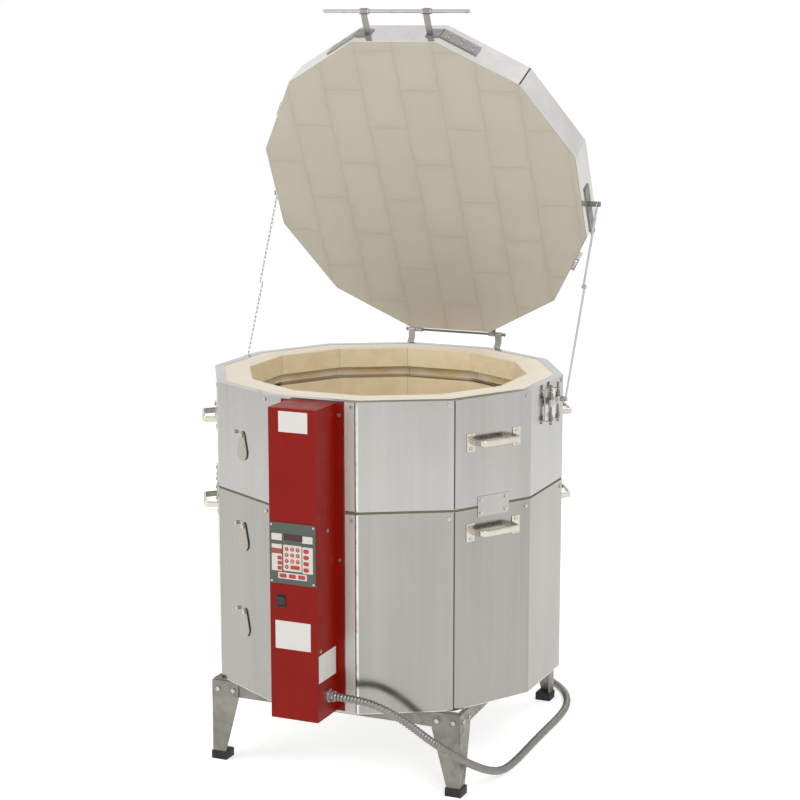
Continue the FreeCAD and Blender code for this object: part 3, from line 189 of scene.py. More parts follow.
class Shader:
    """A material's node tree, built step by step."""

    def __init__(self, name, colour, metallic=0.0, roughness=0.5):
        self.material = bpy.data.materials.new(name)
        self.material.use_nodes = True
        self.tree = self.material.node_tree
        self.surface = self.tree.nodes["Principled BSDF"]
        self.surface.inputs["Base Color"].default_value = colour
        self.surface.inputs["Metallic"].default_value = metallic
        self.surface.inputs["Roughness"].default_value = roughness
        self.colour = colour
        self.place = self.node("ShaderNodeTexCoord").outputs["Object"]
        self.height = None

    def node(self, kind, **values):
        """New node with the given input values."""
        made = self.tree.nodes.new(kind)
        for key, value in values.items():
            made.inputs[key].default_value = value
        return made

    def link(self, output, target):
        """Link between two sockets."""
        self.tree.links.new(output, target)

    def stretched(self, scale, turn=(0, 0, 0), shift=(0, 0, 0)):
        """Object coordinates, scaled, turned and shifted."""
        mapping = self.node("ShaderNodeMapping", Scale=scale, Rotation=turn, Location=shift)
        self.link(self.place, mapping.inputs["Vector"])
        return mapping.outputs["Vector"]

    def noise(self, scale, detail, vector=None):
        """Fractal noise over the object, or over another vector."""
        made = self.node("ShaderNodeTexNoise", Scale=scale, Detail=detail)
        self.link(vector or self.place, made.inputs["Vector"])
        return made.outputs["Fac"]

    def fitted(self, value, low, high, new_low=0, new_high=1):
        """Value mapped from one range to another and kept within it."""
        made = self.node("ShaderNodeMapRange")
        made.inputs["From Min"].default_value = low
        made.inputs["From Max"].default_value = high
        made.inputs["To Min"].default_value = new_low
        made.inputs["To Max"].default_value = new_high
        self.link(value, made.inputs["Value"])
        return made.outputs["Result"]

    def reckoned(self, operation, first, second):
        """Sum or product of an output with a number or another output."""
        made = self.node("ShaderNodeMath")
        made.operation = operation
        self.link(first, made.inputs[0])
        if isinstance(second, float):
            made.inputs[1].default_value = second
        else:
            self.link(second, made.inputs[1])
        return made.outputs[0]

    def split(self, place):
        """X, Y and Z of a position."""
        made = self.node("ShaderNodeSeparateXYZ")
        self.link(place, made.inputs[0])
        return made.outputs

    def flat(self, across, along):
        """Position in a plane."""
        made = self.node("ShaderNodeCombineXYZ")
        self.link(across, made.inputs["X"])
        self.link(along, made.inputs["Y"])
        return made.outputs[0]

    def tint(self, value, colour, amount):
        """Mix some of another colour in where value is 1."""
        mix = self.node("ShaderNodeMix")
        mix.data_type = "RGBA"
        self.link(self.reckoned("MULTIPLY", value, amount), mix.inputs[0])
        base = self.surface.inputs["Base Color"]
        if base.is_linked:
            self.link(base.links[0].from_socket, mix.inputs[6])
        else:
            mix.inputs[6].default_value = self.colour
        mix.inputs[7].default_value = colour
        self.link(mix.outputs[2], base)

    def gloss(self, value, low, high):
        """Roughness between two values."""
        self.link(self.fitted(value, 0.3, 0.7, low, high), self.surface.inputs["Roughness"])

    def bump(self, value, distance):
        """Relief of a given height, on top of the relief so far."""
        made = self.node("ShaderNodeBump", Strength=1.0, Distance=distance)
        self.link(value, made.inputs["Height"])
        if self.height:
            self.link(self.height, made.inputs["Normal"])
        self.height = made.outputs["Normal"]
        self.link(self.height, self.surface.inputs["Normal"])


def scaled(colour, factor):
    """Colour made darker or lighter."""
    return tuple(min(c * factor, 1) for c in colour[:3]) + (1,)


def steel_sheet(name, colour, roughness, waviness=0.0005):
    """Polished sheet: fine brushing, broad faint streaks, slight waves and smudges."""
    made = Shader(name, colour, 1.0, roughness)
    streaks = made.noise(110, 4, made.stretched((1, 1, 0.03)))
    broad = made.noise(16, 3, made.stretched((1, 1, 0.08), shift=(3, 1, 0)))
    made.tint(made.fitted(streaks, 0.42, 0.68), scaled(colour, 0.8), 0.2)
    made.tint(made.fitted(broad, 0.42, 0.74), scaled(colour, 1.2), 0.36)
    smudges = made.noise(6, 5)
    made.tint(made.fitted(smudges, 0.52, 0.8), linear(160, 155, 142), 0.4)
    made.gloss(made.noise(9, 4), roughness * 0.75, roughness * 1.5)
    made.bump(made.noise(4.5, 1), waviness)
    made.bump(streaks, 0.00002)
    return made.material


def satin_sheet():
    """Rubbed sheet that scatters most of what it mirrors."""
    made = Shader("satin_sheet", linear(206, 204, 197), 0.45, 0.4)
    rubbed = made.noise(40, 4, made.stretched((1, 1, 0.15)))
    made.tint(made.fitted(rubbed, 0.5, 0.7), linear(176, 174, 168), 0.4)
    made.gloss(rubbed, 0.32, 0.5)
    made.bump(made.noise(7, 2), 0.0002)
    return made.material


def plated(name, colour, roughness, scale=60):
    """Plated or cast metal with faint blotches."""
    made = Shader(name, colour, 1.0, roughness)
    blotches = made.noise(scale, 4)
    made.gloss(blotches, roughness * 0.75, roughness * 1.4)
    made.tint(made.fitted(blotches, 0.5, 0.75), scaled(colour, 0.62), 0.5)
    made.bump(made.noise(scale * 8, 3), 0.00004)
    return made.material


def galvanised():
    """Zinc coat: flat grey flakes and rubbed streaks."""
    made = Shader("galvanised", linear(136, 135, 127), 0.85, 0.42)
    flakes = made.node("ShaderNodeTexVoronoi", Scale=70)
    made.link(made.place, flakes.inputs["Vector"])
    value = made.fitted(flakes.outputs["Color"], 0, 1)
    made.tint(value, linear(112, 110, 102), 0.35)
    made.gloss(value, 0.34, 0.55)
    made.tint(made.fitted(made.noise(12, 5), 0.52, 0.7), linear(156, 152, 139), 0.4)
    made.bump(made.noise(240, 3), 0.00005)
    return made.material


def brick(name, colour, dark, specks=0.35):
    """Soft insulating brick: pores, speckles and cloudy tint."""
    made = Shader(name, colour, 0.0, 0.95)
    made.surface.inputs["Specular IOR Level"].default_value = 0.2
    made.tint(made.fitted(made.noise(9, 5), 0.42, 0.78), dark, 0.45)
    made.tint(made.fitted(made.noise(420, 2), 0.63, 0.76), linear(160, 138, 100), specks)
    made.bump(made.noise(600, 4), 0.0004)
    made.bump(made.noise(45, 4), 0.0005)
    return made


def wall_brick_material():
    """Wall brick: warmer inside the chamber, with painted shade on the brick behind the jacket's edge."""
    made = brick("wall_brick_look", linear(252, 242, 226), linear(244, 231, 208))
    parts = made.split(made.stretched((1, 1, 1), shift=(0, -SETBACK, 0)))
    length = made.node("ShaderNodeVectorMath")
    length.operation = "LENGTH"
    made.link(made.flat(parts["X"], parts["Y"]), length.inputs[0])
    reach = length.outputs["Value"]
    within = made.fitted(reach, GROOVE_RADIUS + 4 * MM, GROOVE_RADIUS + MM)
    below_rim = made.fitted(parts["Z"], RIM_Z - 2.5 * MM, RIM_Z - 3.5 * MM)
    inside = made.reckoned("MULTIPLY", within, below_rim)
    made.tint(inside, linear(244, 227, 190), 0.9)
    stains = made.fitted(made.noise(30, 4), 0.45, 0.7)
    made.tint(made.reckoned("MULTIPLY", stains, inside), linear(226, 202, 158), 0.4)
    # painted shade: brick beyond the jacket's gap radius is painted dark, standing in for the shade in the
    # recess behind the jacket's edge
    gap_shade = made.fitted(reach, JACKET_GAP_RADIUS, JACKET_GAP_RADIUS + 3 * MM)
    made.tint(gap_shade, linear(92, 84, 60), 0.9)
    return made.material


LID_BRICK_LENGTH = 0.185
LID_BRICK_WIDTH = 0.0915
LID_BRICK_SHIFT = (0.006, 0.0475, 0)
EDGE_SHADE_WIDTH = 0.022
JOINT_WIDTH = 0.0035
WOBBLE = 0.003


def lid_brick_material():
    """Lid brick: staggered bricks along the lid, painted darker than the wall brick as painted shade, with
    soft painted shade wide over their joints.
    """
    # painted shade: the lid is the same brick as the wall, given darker colours for the shade on its face
    made = brick("lid_brick_shaded_look", linear(203, 197, 183), linear(194, 187, 171), 0.15)

    def wobbly(part, scale):
        """Position that wanders a little, so that the joints aren't ruled."""
        return made.reckoned("ADD", part, made.fitted(made.noise(scale, 3), 0.3, 0.7, -WOBBLE, WOBBLE))

    # the pattern's length runs up the open lid, its width along X
    parts = made.split(made.stretched((1, 1, 1), (LID_OPEN, 0, 0), LID_BRICK_SHIFT))
    place = made.flat(wobbly(parts["Y"], 26), wobbly(parts["X"], 34))

    def joints(width):
        """Brick pattern whose joints fade out over a width."""
        sizes = {"Mortar Size": width, "Mortar Smooth": 1.0, "Brick Width": LID_BRICK_LENGTH,
                 "Row Height": LID_BRICK_WIDTH, "Scale": 1.0}
        greys = {"Color1": (0, 0, 0, 1), "Color2": (1, 1, 1, 1), "Mortar": (0.5, 0.5, 0.5, 1)}
        pattern = made.node("ShaderNodeTexBrick", **sizes, **greys)
        pattern.offset = 0.5
        made.link(place, pattern.inputs["Vector"])
        return pattern.outputs

    tone_and_edge_shade, line = joints(EDGE_SHADE_WIDTH), joints(JOINT_WIDTH)
    # the wide pattern gives each brick a random tone, and its soft wide joints carry painted shade along
    # the brick edges
    made.tint(tone_and_edge_shade["Color"], linear(197, 189, 171), 0.25)
    made.tint(tone_and_edge_shade["Fac"], linear(186, 177, 157), 0.2)
    made.tint(line["Fac"], linear(166, 155, 132), 0.2)
    made.bump(made.fitted(line["Fac"], 0, 1, 1, 0), 0.0002)
    return made.material


def red_paint():
    """Powder-coated red with fine orange peel."""
    made = Shader("red_paint", linear(141, 21, 11), 0.0, 0.42)
    made.surface.inputs["Specular IOR Level"].default_value = 0.16
    made.tint(made.fitted(made.noise(14, 4), 0.45, 0.75), linear(127, 17, 9), 0.5)
    made.gloss(made.noise(30, 3), 0.33, 0.46)
    made.bump(made.noise(900, 2), 0.00006)
    return made.material


def plastic(name, colour, roughness=0.4, grain=0.00005):
    """Moulded plastic or rubber with a fine grain."""
    made = Shader(name, colour, 0.0, roughness)
    made.gloss(made.noise(60, 3), roughness * 0.85, roughness * 1.2)
    made.bump(made.noise(1400, 2), grain)
    return made.material


# painted light and shade: the upper and lower jackets are one steel, given as a lighter copy for the upper
# sheet and a darker copy for the lower sheet
STEEL = steel_sheet("upper_sheet_painted_light", linear(168, 167, 164), 0.14)
SHADED_LOWER_STEEL = steel_sheet("lower_sheet_painted_shade", linear(153, 151, 146), 0.16)
BAND = steel_sheet("band_sheet", linear(207, 206, 203), 0.2)
COVER = steel_sheet("cover_sheet", linear(160, 156, 146), 0.3, 0.0001)
# the dark seam colour marks the sheet joints, and also serves as painted shade in the strip beside the fold
CHROME = plated("cast_chrome", linear(200, 195, 182), 0.14)
SEAM_AND_FOLD_SHADE = plated("seam_gap_and_fold_shade", linear(74, 72, 66), 0.4)
# painted highlight: light colour along the fold at the corner
FOLD_HIGHLIGHT = plated("fold_painted_highlight", linear(206, 205, 201), 0.12)
SATIN = satin_sheet()
ARMS = plated("arm_sheet", linear(146, 144, 140), 0.34)
ZINC = plated("zinc_plate", linear(184, 183, 180), 0.3)
ZINC_DARK = plated("dark_zinc", linear(132, 130, 124), 0.36)
GALVANISED = galvanised()
BRICK = wall_brick_material()
LID_FACE = lid_brick_material()
RED = red_paint()
PANEL = plastic("panel_enamel", linear(76, 86, 78), 0.45)
FILM = plastic("key_film", linear(216, 213, 202), 0.5)
RED_KEY = plastic("key_red", linear(184, 58, 52), 0.5)
DISPLAY = plastic("display_window", linear(66, 14, 16), 0.12, 0.00001)
BLACK = plastic("black_plastic", linear(24, 24, 25), 0.38)
RUBBER = plastic("black_rubber", linear(22, 22, 22), 0.62, 0.0001)
WIRE = plated("heating_wire", linear(112, 94, 74), 0.5)
CONDUIT = plated("conduit_strip", linear(134, 133, 128), 0.3, 90)
LABEL = plastic("bare_plate", linear(222, 220, 214), 0.35)
BRASS = plated("brass_blade", linear(196, 168, 104), 0.25)

NODE_MATERIALS = {
    "base_plate": BAND, "floor_slab": BRICK,
    "lower_bricks_1": BRICK, "lower_bricks_2": BRICK, "lower_bricks_3": BRICK,
    "upper_bricks_1": BRICK, "upper_bricks_2": BRICK,
    "lower_jacket": SHADED_LOWER_STEEL, "upper_jacket": STEEL, "thermocouple": BRICK,
    "leg_front_left": GALVANISED, "leg_front_right": GALVANISED, "leg_rear_left": GALVANISED,
    "leg_rear_right": GALVANISED, "stand_rails": GALVANISED, "foot_caps": RUBBER, "stand_bolts": ZINC,
    "upper_handles": CHROME, "lower_handles": CHROME, "joining_plates": STEEL, "jacket_screws": ZINC,
    "peephole_cover_upper": COVER, "peephole_cover_middle": COVER, "peephole_cover_lower": COVER,
    "peephole_screws": ZINC, "lid_brick": LID_FACE, "lid_band": BAND, "lid_band_clamps": ZINC,
    "lid_rivets": ZINC, "lid_handle_arms": ARMS, "lid_handle_rod": ZINC, "hinge_straps": ZINC,
    "lid_straps": ZINC, "hinge_rod": ZINC_DARK, "stay_lower_link": ZINC, "stay_upper_link": ZINC,
    "lid_stay_bracket": GALVANISED, "stay_bracket": BAND, "stay_cross_bar": ZINC,
    "stay_studs": ZINC_DARK, "chain_foot_screw": ZINC, "chain_lid_screw": ZINC,
    "box_chassis": RED, "box_cover": RED, "controller_plate": PANEL, "controller_display": DISPLAY,
    "switch_frame": BLACK, "power_rocker": BLACK, "conduit_connector": ZINC, "box_fittings": BLACK,
    "box_screws": ZINC, "plug": RUBBER, "plug_blades": BRASS,
}
for node, material in NODE_MATERIALS.items():
    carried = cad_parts[node]
    carried.data.materials.clear()
    carried.data.materials.append(material)


# Conduit: the route of the tube and the turns of the put-away coil, as control points

CONDUIT_RADIUS = 0.0085
GLAND_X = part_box("conduit_connector")[1][0]
GLAND = Vector((GLAND_X, -0.4202 + SETBACK, 0.234))
GLAND_LEAD = 0.052
COIL_MIDDLE = Vector((0.020, 0.622 + SETBACK, 0))
COIL_RADIUS = 11 * CONDUIT_RADIUS
COIL_LEADS = (0.03, 0.064)
COIL_ARRIVAL = (0.128, 0.076)
TURN_POINTS = 16
TURNS = 1.25
CLIMB_START = 0.5
CLIMB_LENGTH = 0.42
# X, Y from the kiln's axis, and Z while the tube is off the floor
SAG = [(0.177, -0.418, 0.223), (0.224, -0.403, 0.193), (0.262, -0.372, 0.150), (0.291, -0.325, 0.108),
       (0.312, -0.268, 0.070), (0.325, -0.206, 0.037), (0.331, -0.138, 0.014)]
ON_FLOOR = [(0.331, -0.064), (0.329, 0.012), (0.326, 0.092), (0.325, 0.170), (0.324, 0.244),
            (0.318, 0.312), (0.302, 0.372), (0.275, 0.425), (0.238, 0.471), (0.186, 0.509)]


def route_points():
    """From the gland down to the floor and along it to where the coil starts."""
    points = [GLAND, GLAND + Vector((GLAND_LEAD, 0, 0))]
    points += [Vector((x, y + SETBACK, z)) for x, y, z in SAG]
    points += [Vector((x, y + SETBACK, CONDUIT_RADIUS)) for x, y in ON_FLOOR]
    return points + [Vector((x, COIL_MIDDLE.y - COIL_RADIUS, CONDUIT_RADIUS)) for x in COIL_ARRIVAL]


def coil_points():
    """Half a turn on the floor, then rising to lie on itself, and a straight lead to the plug."""
    points = []
    for k in range(1, round(TURNS * TURN_POINTS) + 1):
        share = k / TURN_POINTS
        angle = -math.pi / 2 - 2 * math.pi * share
        climb = min(max((share - CLIMB_START) / CLIMB_LENGTH, 0), 1)
        climb = climb * climb * (3 - 2 * climb)
        height = CONDUIT_RADIUS * (1 + 2 * climb)
        spread = COIL_RADIUS / math.cos(math.pi / TURN_POINTS)
        points.append(COIL_MIDDLE + Vector((spread * math.cos(angle), spread * math.sin(angle), height)))
    end = Vector((COIL_MIDDLE.x - COIL_RADIUS, COIL_MIDDLE.y, 3 * CONDUIT_RADIUS))
    return points + [end + Vector((0, lead, 0)) for lead in COIL_LEADS]


def smooth_line(points):
    """Points of the NURBS spline that has these control points."""
    curve = bpy.data.curves.new("line", "CURVE")
    curve.dimensions = "3D"
    curve.resolution_u = 16
    spline = curve.splines.new("NURBS")
    spline.points.add(len(points) - 1)
    for target, point in zip(spline.points, points):
        target.co = (*point, 1)
    spline.order_u = 3
    spline.use_endpoint_u = True
    return from_curve(curve)[0]


def spaced(points, step):
    """Points at even steps along a line."""
    result = [points[0].copy()]
    left = step
    for a, b in zip(points, points[1:]):
        length = (b - a).length
        while left <= length:
            result.append(a.lerp(b, left / length))
            left += step
        left -= length
    return result


RIDGE_PITCH = 0.0076
RIDGE_DEPTHS = (0, 0, 0.0004, 0.0019, 0.0019, 0.0004)
cord_line = smooth_line(route_points() + coil_points())
ridge_points = spaced(cord_line, RIDGE_PITCH / len(RIDGE_DEPTHS))
ridge_radii = [CONDUIT_RADIUS - RIDGE_DEPTHS[i % len(RIDGE_DEPTHS)] for i in range(len(ridge_points))]
conduit_mesh = mesh_of("conduit_tube", *tube(ridge_points, ridge_radii, around=14))
conduit = add_piece("conduit_tube", conduit_mesh, "kiln", CONDUIT)
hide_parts("conduit", "conduit_coil")


# Heating coils, wound wire lying in the grooves

COIL_SETBACK = 0.0058
COIL_CLEARANCE = 0.0004
WINDING_RADIUS = 0.0038
WIRE_RADIUS = 0.0008
WINDING_PITCH = 0.0050
WINDING_POINTS = 8
GROOVE_HALF = 0.013
FIRST_GROOVE = 0.025


def wound(level):
    """Helix of wire along the twelve-sided groove."""
    reach = (CHAMBER_RADIUS + COIL_SETBACK) / math.cos(math.pi / SIDES)
    corners = []
    for k in range(SIDES + 1):
        angle = math.pi / SIDES + 2 * math.pi * k / SIDES
        corners.append(AXIS + Vector((reach * math.sin(angle), -reach * math.cos(angle), level)))
    line = spaced(corners, WINDING_PITCH / WINDING_POINTS)
    points = []
    for i, (point, (_, side, up)) in enumerate(zip(line, frames_along(line, False))):
        angle = 2 * math.pi * i / WINDING_POINTS
        turned = side * math.cos(angle) + up * math.sin(angle)
        points.append(point + turned * (WINDING_RADIUS - WIRE_RADIUS))
    return tube(points, WIRE_RADIUS, around=5)


# the first groove lies low in the first course, the others in the middle of theirs
GROOVE_FLOORS = [FIRST_GROOVE - GROOVE_HALF] + [COURSE * (row + 0.5) - GROOVE_HALF for row in range(1, 5)]
COIL_CENTRES = [FLOOR_TOP + low + WINDING_RADIUS + COIL_CLEARANCE for low in GROOVE_FLOORS]
for name, levels in (("lower_elements", COIL_CENTRES[:3]), ("upper_elements", COIL_CENTRES[3:])):
    windings = joined([wound(level) for level in levels])
    coils = add_piece(name + "_wire", mesh_of(name + "_wire", *windings), "kiln", WIRE)
    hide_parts(name)


# Chain on the left, link by link

SPAN_RADIUS = 0.002
LINK_PITCH = 0.0105
LINK_STRAIGHT = 0.0084
LINK_BEND = 0.0022
LINK_WIRE = 0.0008
LINK_POINTS = 12


def chain(name):
    """Linked rings in place of a span of chain."""
    low, high = (Vector(corner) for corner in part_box(name))
    first = low + Vector((SPAN_RADIUS, 0, 0))
    last = high - Vector((SPAN_RADIUS, 0, 0))
    run = last - first
    count = round(run.length / LINK_PITCH)
    along = run.normalized()
    across = Vector((1, 0, 0))
    third = along.cross(across)
    parts = []
    for k in range(count):
        centre = first + run * (k + 0.5) / count
        flat = across if k % 2 else third
        ring = []
        for step in range(LINK_POINTS):
            angle = 2 * math.pi * step / LINK_POINTS
            stretch = math.copysign(LINK_STRAIGHT / 2, math.cos(angle)) + LINK_BEND * math.cos(angle)
            ring.append(centre + along * stretch + flat * LINK_BEND * math.sin(angle))
        parts.append(tube(ring, LINK_WIRE, around=6, closed=True))
    links = add_piece(name + "_links", mesh_of(name + "_links", *joined(parts)), name, ZINC)
    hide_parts(name)


chain("chain_lower")
chain("chain_upper")


# Sheet joints and folds along the casing's corners

def outward(azimuth):
    """Unit vector away from the axis at an azimuth from the front."""
    turn = math.radians(azimuth)
    return Vector((math.sin(turn), -math.cos(turn), 0))


def corner_strip(azimuth, before, after, proud, low, high):
    """Thin strip bent round an upright corner, of given widths on its two faces."""
    stretch = math.cos(math.radians(HALF_SIDE))
    face_before, face_after = outward(azimuth - HALF_SIDE), outward(azimuth + HALF_SIDE)
    corner = AXIS + outward(azimuth) * APOTHEM / stretch
    back = Vector((face_before.y, -face_before.x, 0))
    on = Vector((-face_after.y, face_after.x, 0))
    ends = [corner + back * before, corner, corner + on * after]
    normals = [face_before, outward(azimuth) / stretch, face_after]
    section = [end - normal * proud for end, normal in zip(ends, normals)]
    section += [end + normal * proud for end, normal in reversed(list(zip(ends, normals)))]
    vertices = [point + UP * level for level in (low, high) for point in section]
    count = len(section)
    faces = [tuple(reversed(range(count))), tuple(range(count, 2 * count))]
    for k in range(count):
        n = (k + 1) % count
        faces.append((k, n, count + n, count + k))
    return vertices, faces


STRIP_INSET = 0.001
SEAM_AZIMUTH = 45
FOLD_AZIMUTH = 15
LID_GAP = 0.0004
LID_THICK = 0.076
HINGE = Vector((0, 0.397 + SETBACK, 0.8673))
OPENED = Matrix.Translation(HINGE) @ Matrix.Rotation(-LID_OPEN, 4, "X") @ Matrix.Translation(-HINGE)
JACKETS = (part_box("lower_jacket"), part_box("upper_jacket"))
SECTIONS = [(box[0][2] + STRIP_INSET, box[1][2] - STRIP_INSET) for box in JACKETS]
# name, material, azimuth, width before and after the corner, height over the sheet
STRIPS = [("jacket_seams", SEAM_AND_FOLD_SHADE, SEAM_AZIMUTH, 0.0022, 0.0006, 0.0002),
          ("jacket_margins", SATIN, FOLD_AZIMUTH, 0.0275, 0, 0.0002),
          # beside the fold a dark strip of painted shade, on the fold a light strip of painted highlight
          ("jacket_fold_shade", SEAM_AND_FOLD_SHADE, FOLD_AZIMUTH, 0.0050, 0, 0.0004),
          ("jacket_fold_highlights", FOLD_HIGHLIGHT, FOLD_AZIMUTH, 0.0026, 0.0022, 0.0006)]
for name, material, azimuth, before, after, proud in STRIPS:
    strips = joined([corner_strip(azimuth, before, after, proud, *section) for section in SECTIONS])
    add_piece(name, mesh_of(name, *strips), "kiln", material, smooth=False)
lid_low = RIM_Z + LID_GAP
seam, seam_faces = corner_strip(SEAM_AZIMUTH, 0.003, 0.0006, 0.0003, lid_low + STRIP_INSET,
                                lid_low + LID_THICK - STRIP_INSET)
lid_seam = mesh_of("lid_seam", [OPENED @ point for point in seam], seam_faces)
add_piece("lid_seam", lid_seam, "lid", SEAM_AND_FOLD_SHADE, smooth=False)


# Controller: key films, printed keys and their digits

PLATE_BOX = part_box("controller_plate")
PLATE_FACE = PLATE_BOX[0][1]
PLATE_MIDDLE = Vector(((PLATE_BOX[0][0] + PLATE_BOX[1][0]) / 2, 0, (PLATE_BOX[0][2] + PLATE_BOX[1][2]) / 2))
FILM_PROUD = 0.0007
KEY_PROUD = 0.0005
SOFT_EDGE = 0.0002
DIGIT_RAISE = 0.0001
DIGIT_HEIGHT = 7
ARC_STEPS = 4


def outline_plate(corners, back, front):
    """Thin plate on the controller: an outline in X and Z with a softened front edge."""
    vertices = []
    middle = sum((Vector((x, 0, z)) for x, z in corners), Vector()) / len(corners)
    soft = min(SOFT_EDGE, (back - front) / 2)
    for y, inset in ((back, 0), (front + soft, 0), (front, soft)):
        for x, z in corners:
            corner = Vector((x, 0, z))
            pulled = corner - (corner - middle).normalized() * inset
            vertices.append(Vector((pulled.x, y, pulled.z)))
    count = len(corners)
    faces = [tuple(range(count)), tuple(reversed(range(2 * count, 3 * count)))]
    for ring in (0, count):
        for k in range(count):
            n = (k + 1) % count
            faces.append((ring + k, ring + count + k, ring + count + n, ring + n))
    return vertices, faces


def rounded(width, height, across, level, radius):
    """Corners of a rounded rectangle by its middle on the plate, in millimetres."""
    corners = []
    for quarter, (sx, sz) in enumerate(((1, 1), (-1, 1), (-1, -1), (1, -1))):
        for k in range(ARC_STEPS + 1):
            angle = math.pi / 2 * (quarter + k / ARC_STEPS)
            x = across + sx * (width / 2 - radius) + radius * math.cos(angle)
            z = level + sz * (height / 2 - radius) + radius * math.sin(angle)
            corners.append((PLATE_MIDDLE.x + x * MM, PLATE_MIDDLE.z + z * MM))
    return corners


# width, height, middle across and up, corner radius; all in millimetres
FILMS = [(41, 54, -0.4, -8.5, 1.5), (23.4, 55, 33.6, -10, 1.5), (23.4, 14, -35.6, 33.5, 1.5),
         (24, 14.5, 33, 32.5, 1.5), (23, 9, -35.6, 14, 1), (23, 36, -35.6, -19, 1.5),
         (64.5, 13, -0.6, -46, 1.5)]
COLUMNS = (-13.2, -0.8, 11.6)
ROWS = (10, -2.2, -14.6, -27)
KEYS = [(22, 8, -35.6, 4.6, 1.5), (21, 8, 5.6, ROWS[3], 2)]
KEYS += [(9.6, 7.6, -29.2, -9.5 - 10.6 * k, 1.5) for k in range(3)]
KEYS += [(12.4, 8.6, 30.4, level, 4) for level in (9, -3.8, -16.8, -29.8)]
KEYS += [(15.8, 8.2, across, -46, 2) for across in (-21.6, -0.8, 20)]
DIGITS = [(COLUMNS[k % 3], ROWS[k // 3], str(k + 1)) for k in range(9)] + [(COLUMNS[0], ROWS[3], "0")]
KEYS += [(8.6, 8.6, across, level, 4.2) for across, level, _ in DIGITS]
film_front = PLATE_FACE - FILM_PROUD
key_front = film_front - KEY_PROUD
films = joined([outline_plate(rounded(*film), PLATE_FACE, film_front) for film in FILMS])
key_films = add_piece("key_films", mesh_of("key_films", *films), "kiln", FILM, smooth=False)
keys = joined([outline_plate(rounded(*key), film_front, key_front) for key in KEYS])
red_keys = add_piece("red_keys", mesh_of("red_keys", *keys), "kiln", RED_KEY, smooth=False)


def digit(text, across, level):
    """Raised digit on a key."""
    curve = bpy.data.curves.new("digit", "FONT")
    curve.body = text
    curve.size = DIGIT_HEIGHT * MM
    curve.extrude = DIGIT_RAISE
    curve.align_x = "CENTER"
    curve.align_y = "CENTER"
    curve.resolution_u = 3
    vertices, faces = from_curve(curve)
    spot = Vector((PLATE_MIDDLE.x + across * MM, key_front, PLATE_MIDDLE.z + level * MM))
    turn = Matrix.Translation(spot) @ Matrix.Rotation(math.pi / 2, 4, "X")
    return [turn @ v for v in vertices], faces


digits = joined([digit(text, across, level) for across, level, text in DIGITS])
key_digits = add_piece("key_digits", mesh_of("key_digits", *digits), "kiln", FILM, smooth=False)
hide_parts("controller_keys")
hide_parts("controller_keys")
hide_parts("controller_keys")


# Bare plates on the control box

BOX_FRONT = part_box("box_cover")[0][1]
BOX_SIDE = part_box("box_cover")[1][0]
PLATE_PROUD = 0.0008
PLATE_SUNK = 0.0002
PLATE_BEVEL = 0.0004
PLATES = {
    "bare_plate_top": ((-0.030, BOX_FRONT - PLATE_PROUD, 0.7875), (0.0345, BOX_FRONT + PLATE_SUNK, 0.830)),
    "bare_plate_low": ((-0.0415, BOX_FRONT - PLATE_PROUD, 0.337), (0.038, BOX_FRONT + PLATE_SUNK, 0.396)),
    "bare_plate_side": ((BOX_SIDE - PLATE_SUNK, -0.459 + SETBACK, 0.270),
                        (BOX_SIDE + PLATE_PROUD, -0.380 + SETBACK, 0.328)),
}
for name, (low, high) in PLATES.items():
    add_piece(name, mesh_of(name, *slab(low, high, PLATE_BEVEL)), "kiln", LABEL, smooth=False)


# Camera, lights and backdrop

LENS_MM = 91.56
SENSOR_MM = 36
CAMERA_SPOT = (1.7902, -4.0061 + SETBACK, 1.6117)
CAMERA_RIGHT = Vector((0.9156, 0.4020, -0.0002))
CAMERA_UP = Vector((-0.0753, 0.1721, 0.9822))
CAMERA_BACK = Vector((0.3949, -0.8993, 0.1878))
WORLD_LIGHT = 0.62
FLOOR_HALF = 14
FLOOR_GREY = 0.93
FLOOR_GLOW = 0.5
# name, place, target, size, power in watts
LAMPS = [("key", (2.6, -3.2, 3.6), (0, 0, 0.8), 2.4, 68),
         ("fill", (-3.2, -2.6, 2.2), (0, 0, 0.8), 2.6, 44),
         ("back", (0.5, 3.2, 3.4), (0, 0, 0.9), 2.0, 30)]


def camera():
    """Camera as solved from the photo."""
    data = bpy.data.cameras.new("camera")
    data.lens = LENS_MM
    data.sensor_width = SENSOR_MM
    view = bpy.data.objects.new("camera", data)
    bpy.context.scene.collection.objects.link(view)
    turn = Matrix((CAMERA_RIGHT, CAMERA_UP, CAMERA_BACK)).transposed().to_4x4()
    view.matrix_world = Matrix.Translation(CAMERA_SPOT) @ turn
    bpy.context.scene.camera = view


def lamp(name, spot, target, size, power):
    """Square area lamp that faces its target."""
    data = bpy.data.lights.new(name, "AREA")
    data.size = size
    data.energy = power
    light = bpy.data.objects.new(name, data)
    bpy.context.scene.collection.objects.link(light)
    light.location = spot
    light.rotation_euler = (Vector(target) - Vector(spot)).to_track_quat("-Z", "Y").to_euler()


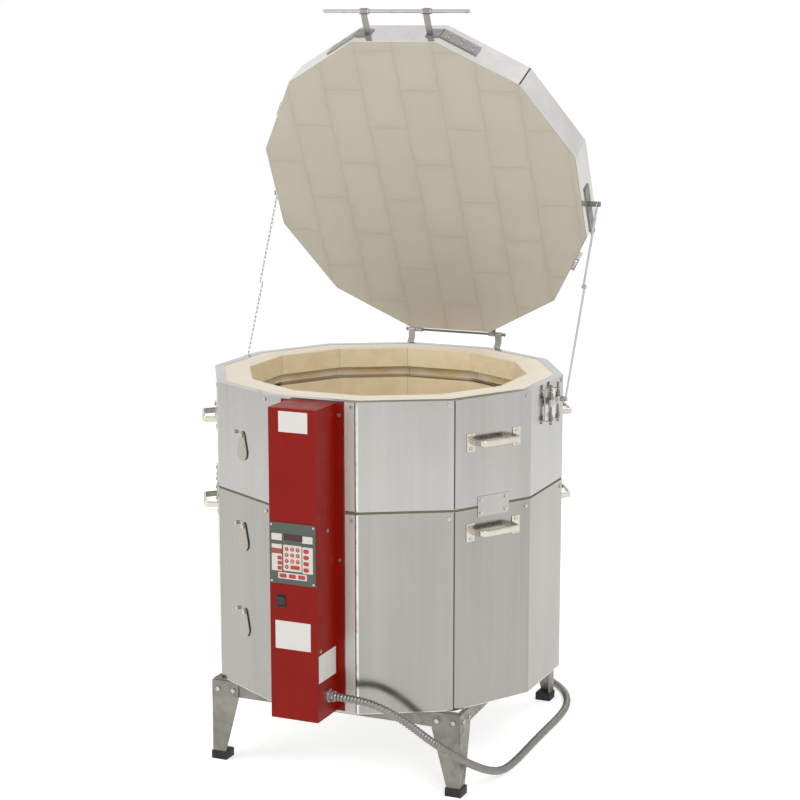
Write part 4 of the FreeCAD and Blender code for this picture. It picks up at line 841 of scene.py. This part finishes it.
def seeing_rays(tree):
    """1 for the rays that see the background: the camera's, and those of metal and glass."""
    path = tree.nodes.new("ShaderNodeLightPath")
    result = path.outputs["Is Camera Ray"]
    for name in ("Is Glossy Ray", "Is Transmission Ray"):
        either = tree.nodes.new("ShaderNodeMath")
        either.operation = "MAXIMUM"
        tree.links.new(result, either.inputs[0])
        tree.links.new(path.outputs[name], either.inputs[1])
        result = either.outputs[0]
    return result


def studio():
    """World that lights softly and is seen as white."""
    world = bpy.data.worlds.new("studio")
    bpy.context.scene.world = world
    world.use_nodes = True
    tree = world.node_tree
    ambient = tree.nodes["Background"]
    seen = tree.nodes.new("ShaderNodeBackground")
    for background, strength in ((ambient, WORLD_LIGHT), (seen, 1.0)):
        background.inputs["Color"].default_value = (1, 1, 1, 1)
        background.inputs["Strength"].default_value = strength
    mix = tree.nodes.new("ShaderNodeMixShader")
    tree.links.new(seeing_rays(tree), mix.inputs[0])
    tree.links.new(ambient.outputs[0], mix.inputs[1])
    tree.links.new(seen.outputs[0], mix.inputs[2])
    tree.links.new(mix.outputs[0], tree.nodes["World Output"].inputs[0])


def backdrop():
    """Floor that shows white to the camera but keeps the shadow."""
    low = cad_box[0][2]
    corners = [(x * FLOOR_HALF, y * FLOOR_HALF, low) for x, y in ((-1, -1), (1, -1), (1, 1), (-1, 1))]
    floor = bpy.data.objects.new("floor", mesh_of("floor", corners, [(0, 1, 2, 3)]))
    bpy.context.scene.collection.objects.link(floor)
    look = Shader("floor_look", (FLOOR_GREY, FLOOR_GREY, FLOOR_GREY, 1), 0.0, 0.9)
    look.surface.inputs["Specular IOR Level"].default_value = 0.0
    glow = look.node("ShaderNodeEmission", Strength=FLOOR_GLOW)
    add = look.node("ShaderNodeAddShader")
    look.link(look.surface.outputs[0], add.inputs[0])
    look.link(glow.outputs[0], add.inputs[1])
    choose = look.node("ShaderNodeMixShader")
    look.link(seeing_rays(look.tree), choose.inputs[0])
    look.link(look.surface.outputs[0], choose.inputs[1])
    look.link(add.outputs[0], choose.inputs[2])
    look.link(choose.outputs[0], look.tree.nodes["Material Output"].inputs[0])
    floor.data.materials.append(look.material)


camera()
for settings in LAMPS:
    lamp(*settings)
studio()
backdrop()
bpy.context.scene.view_settings.view_transform = "Standard"
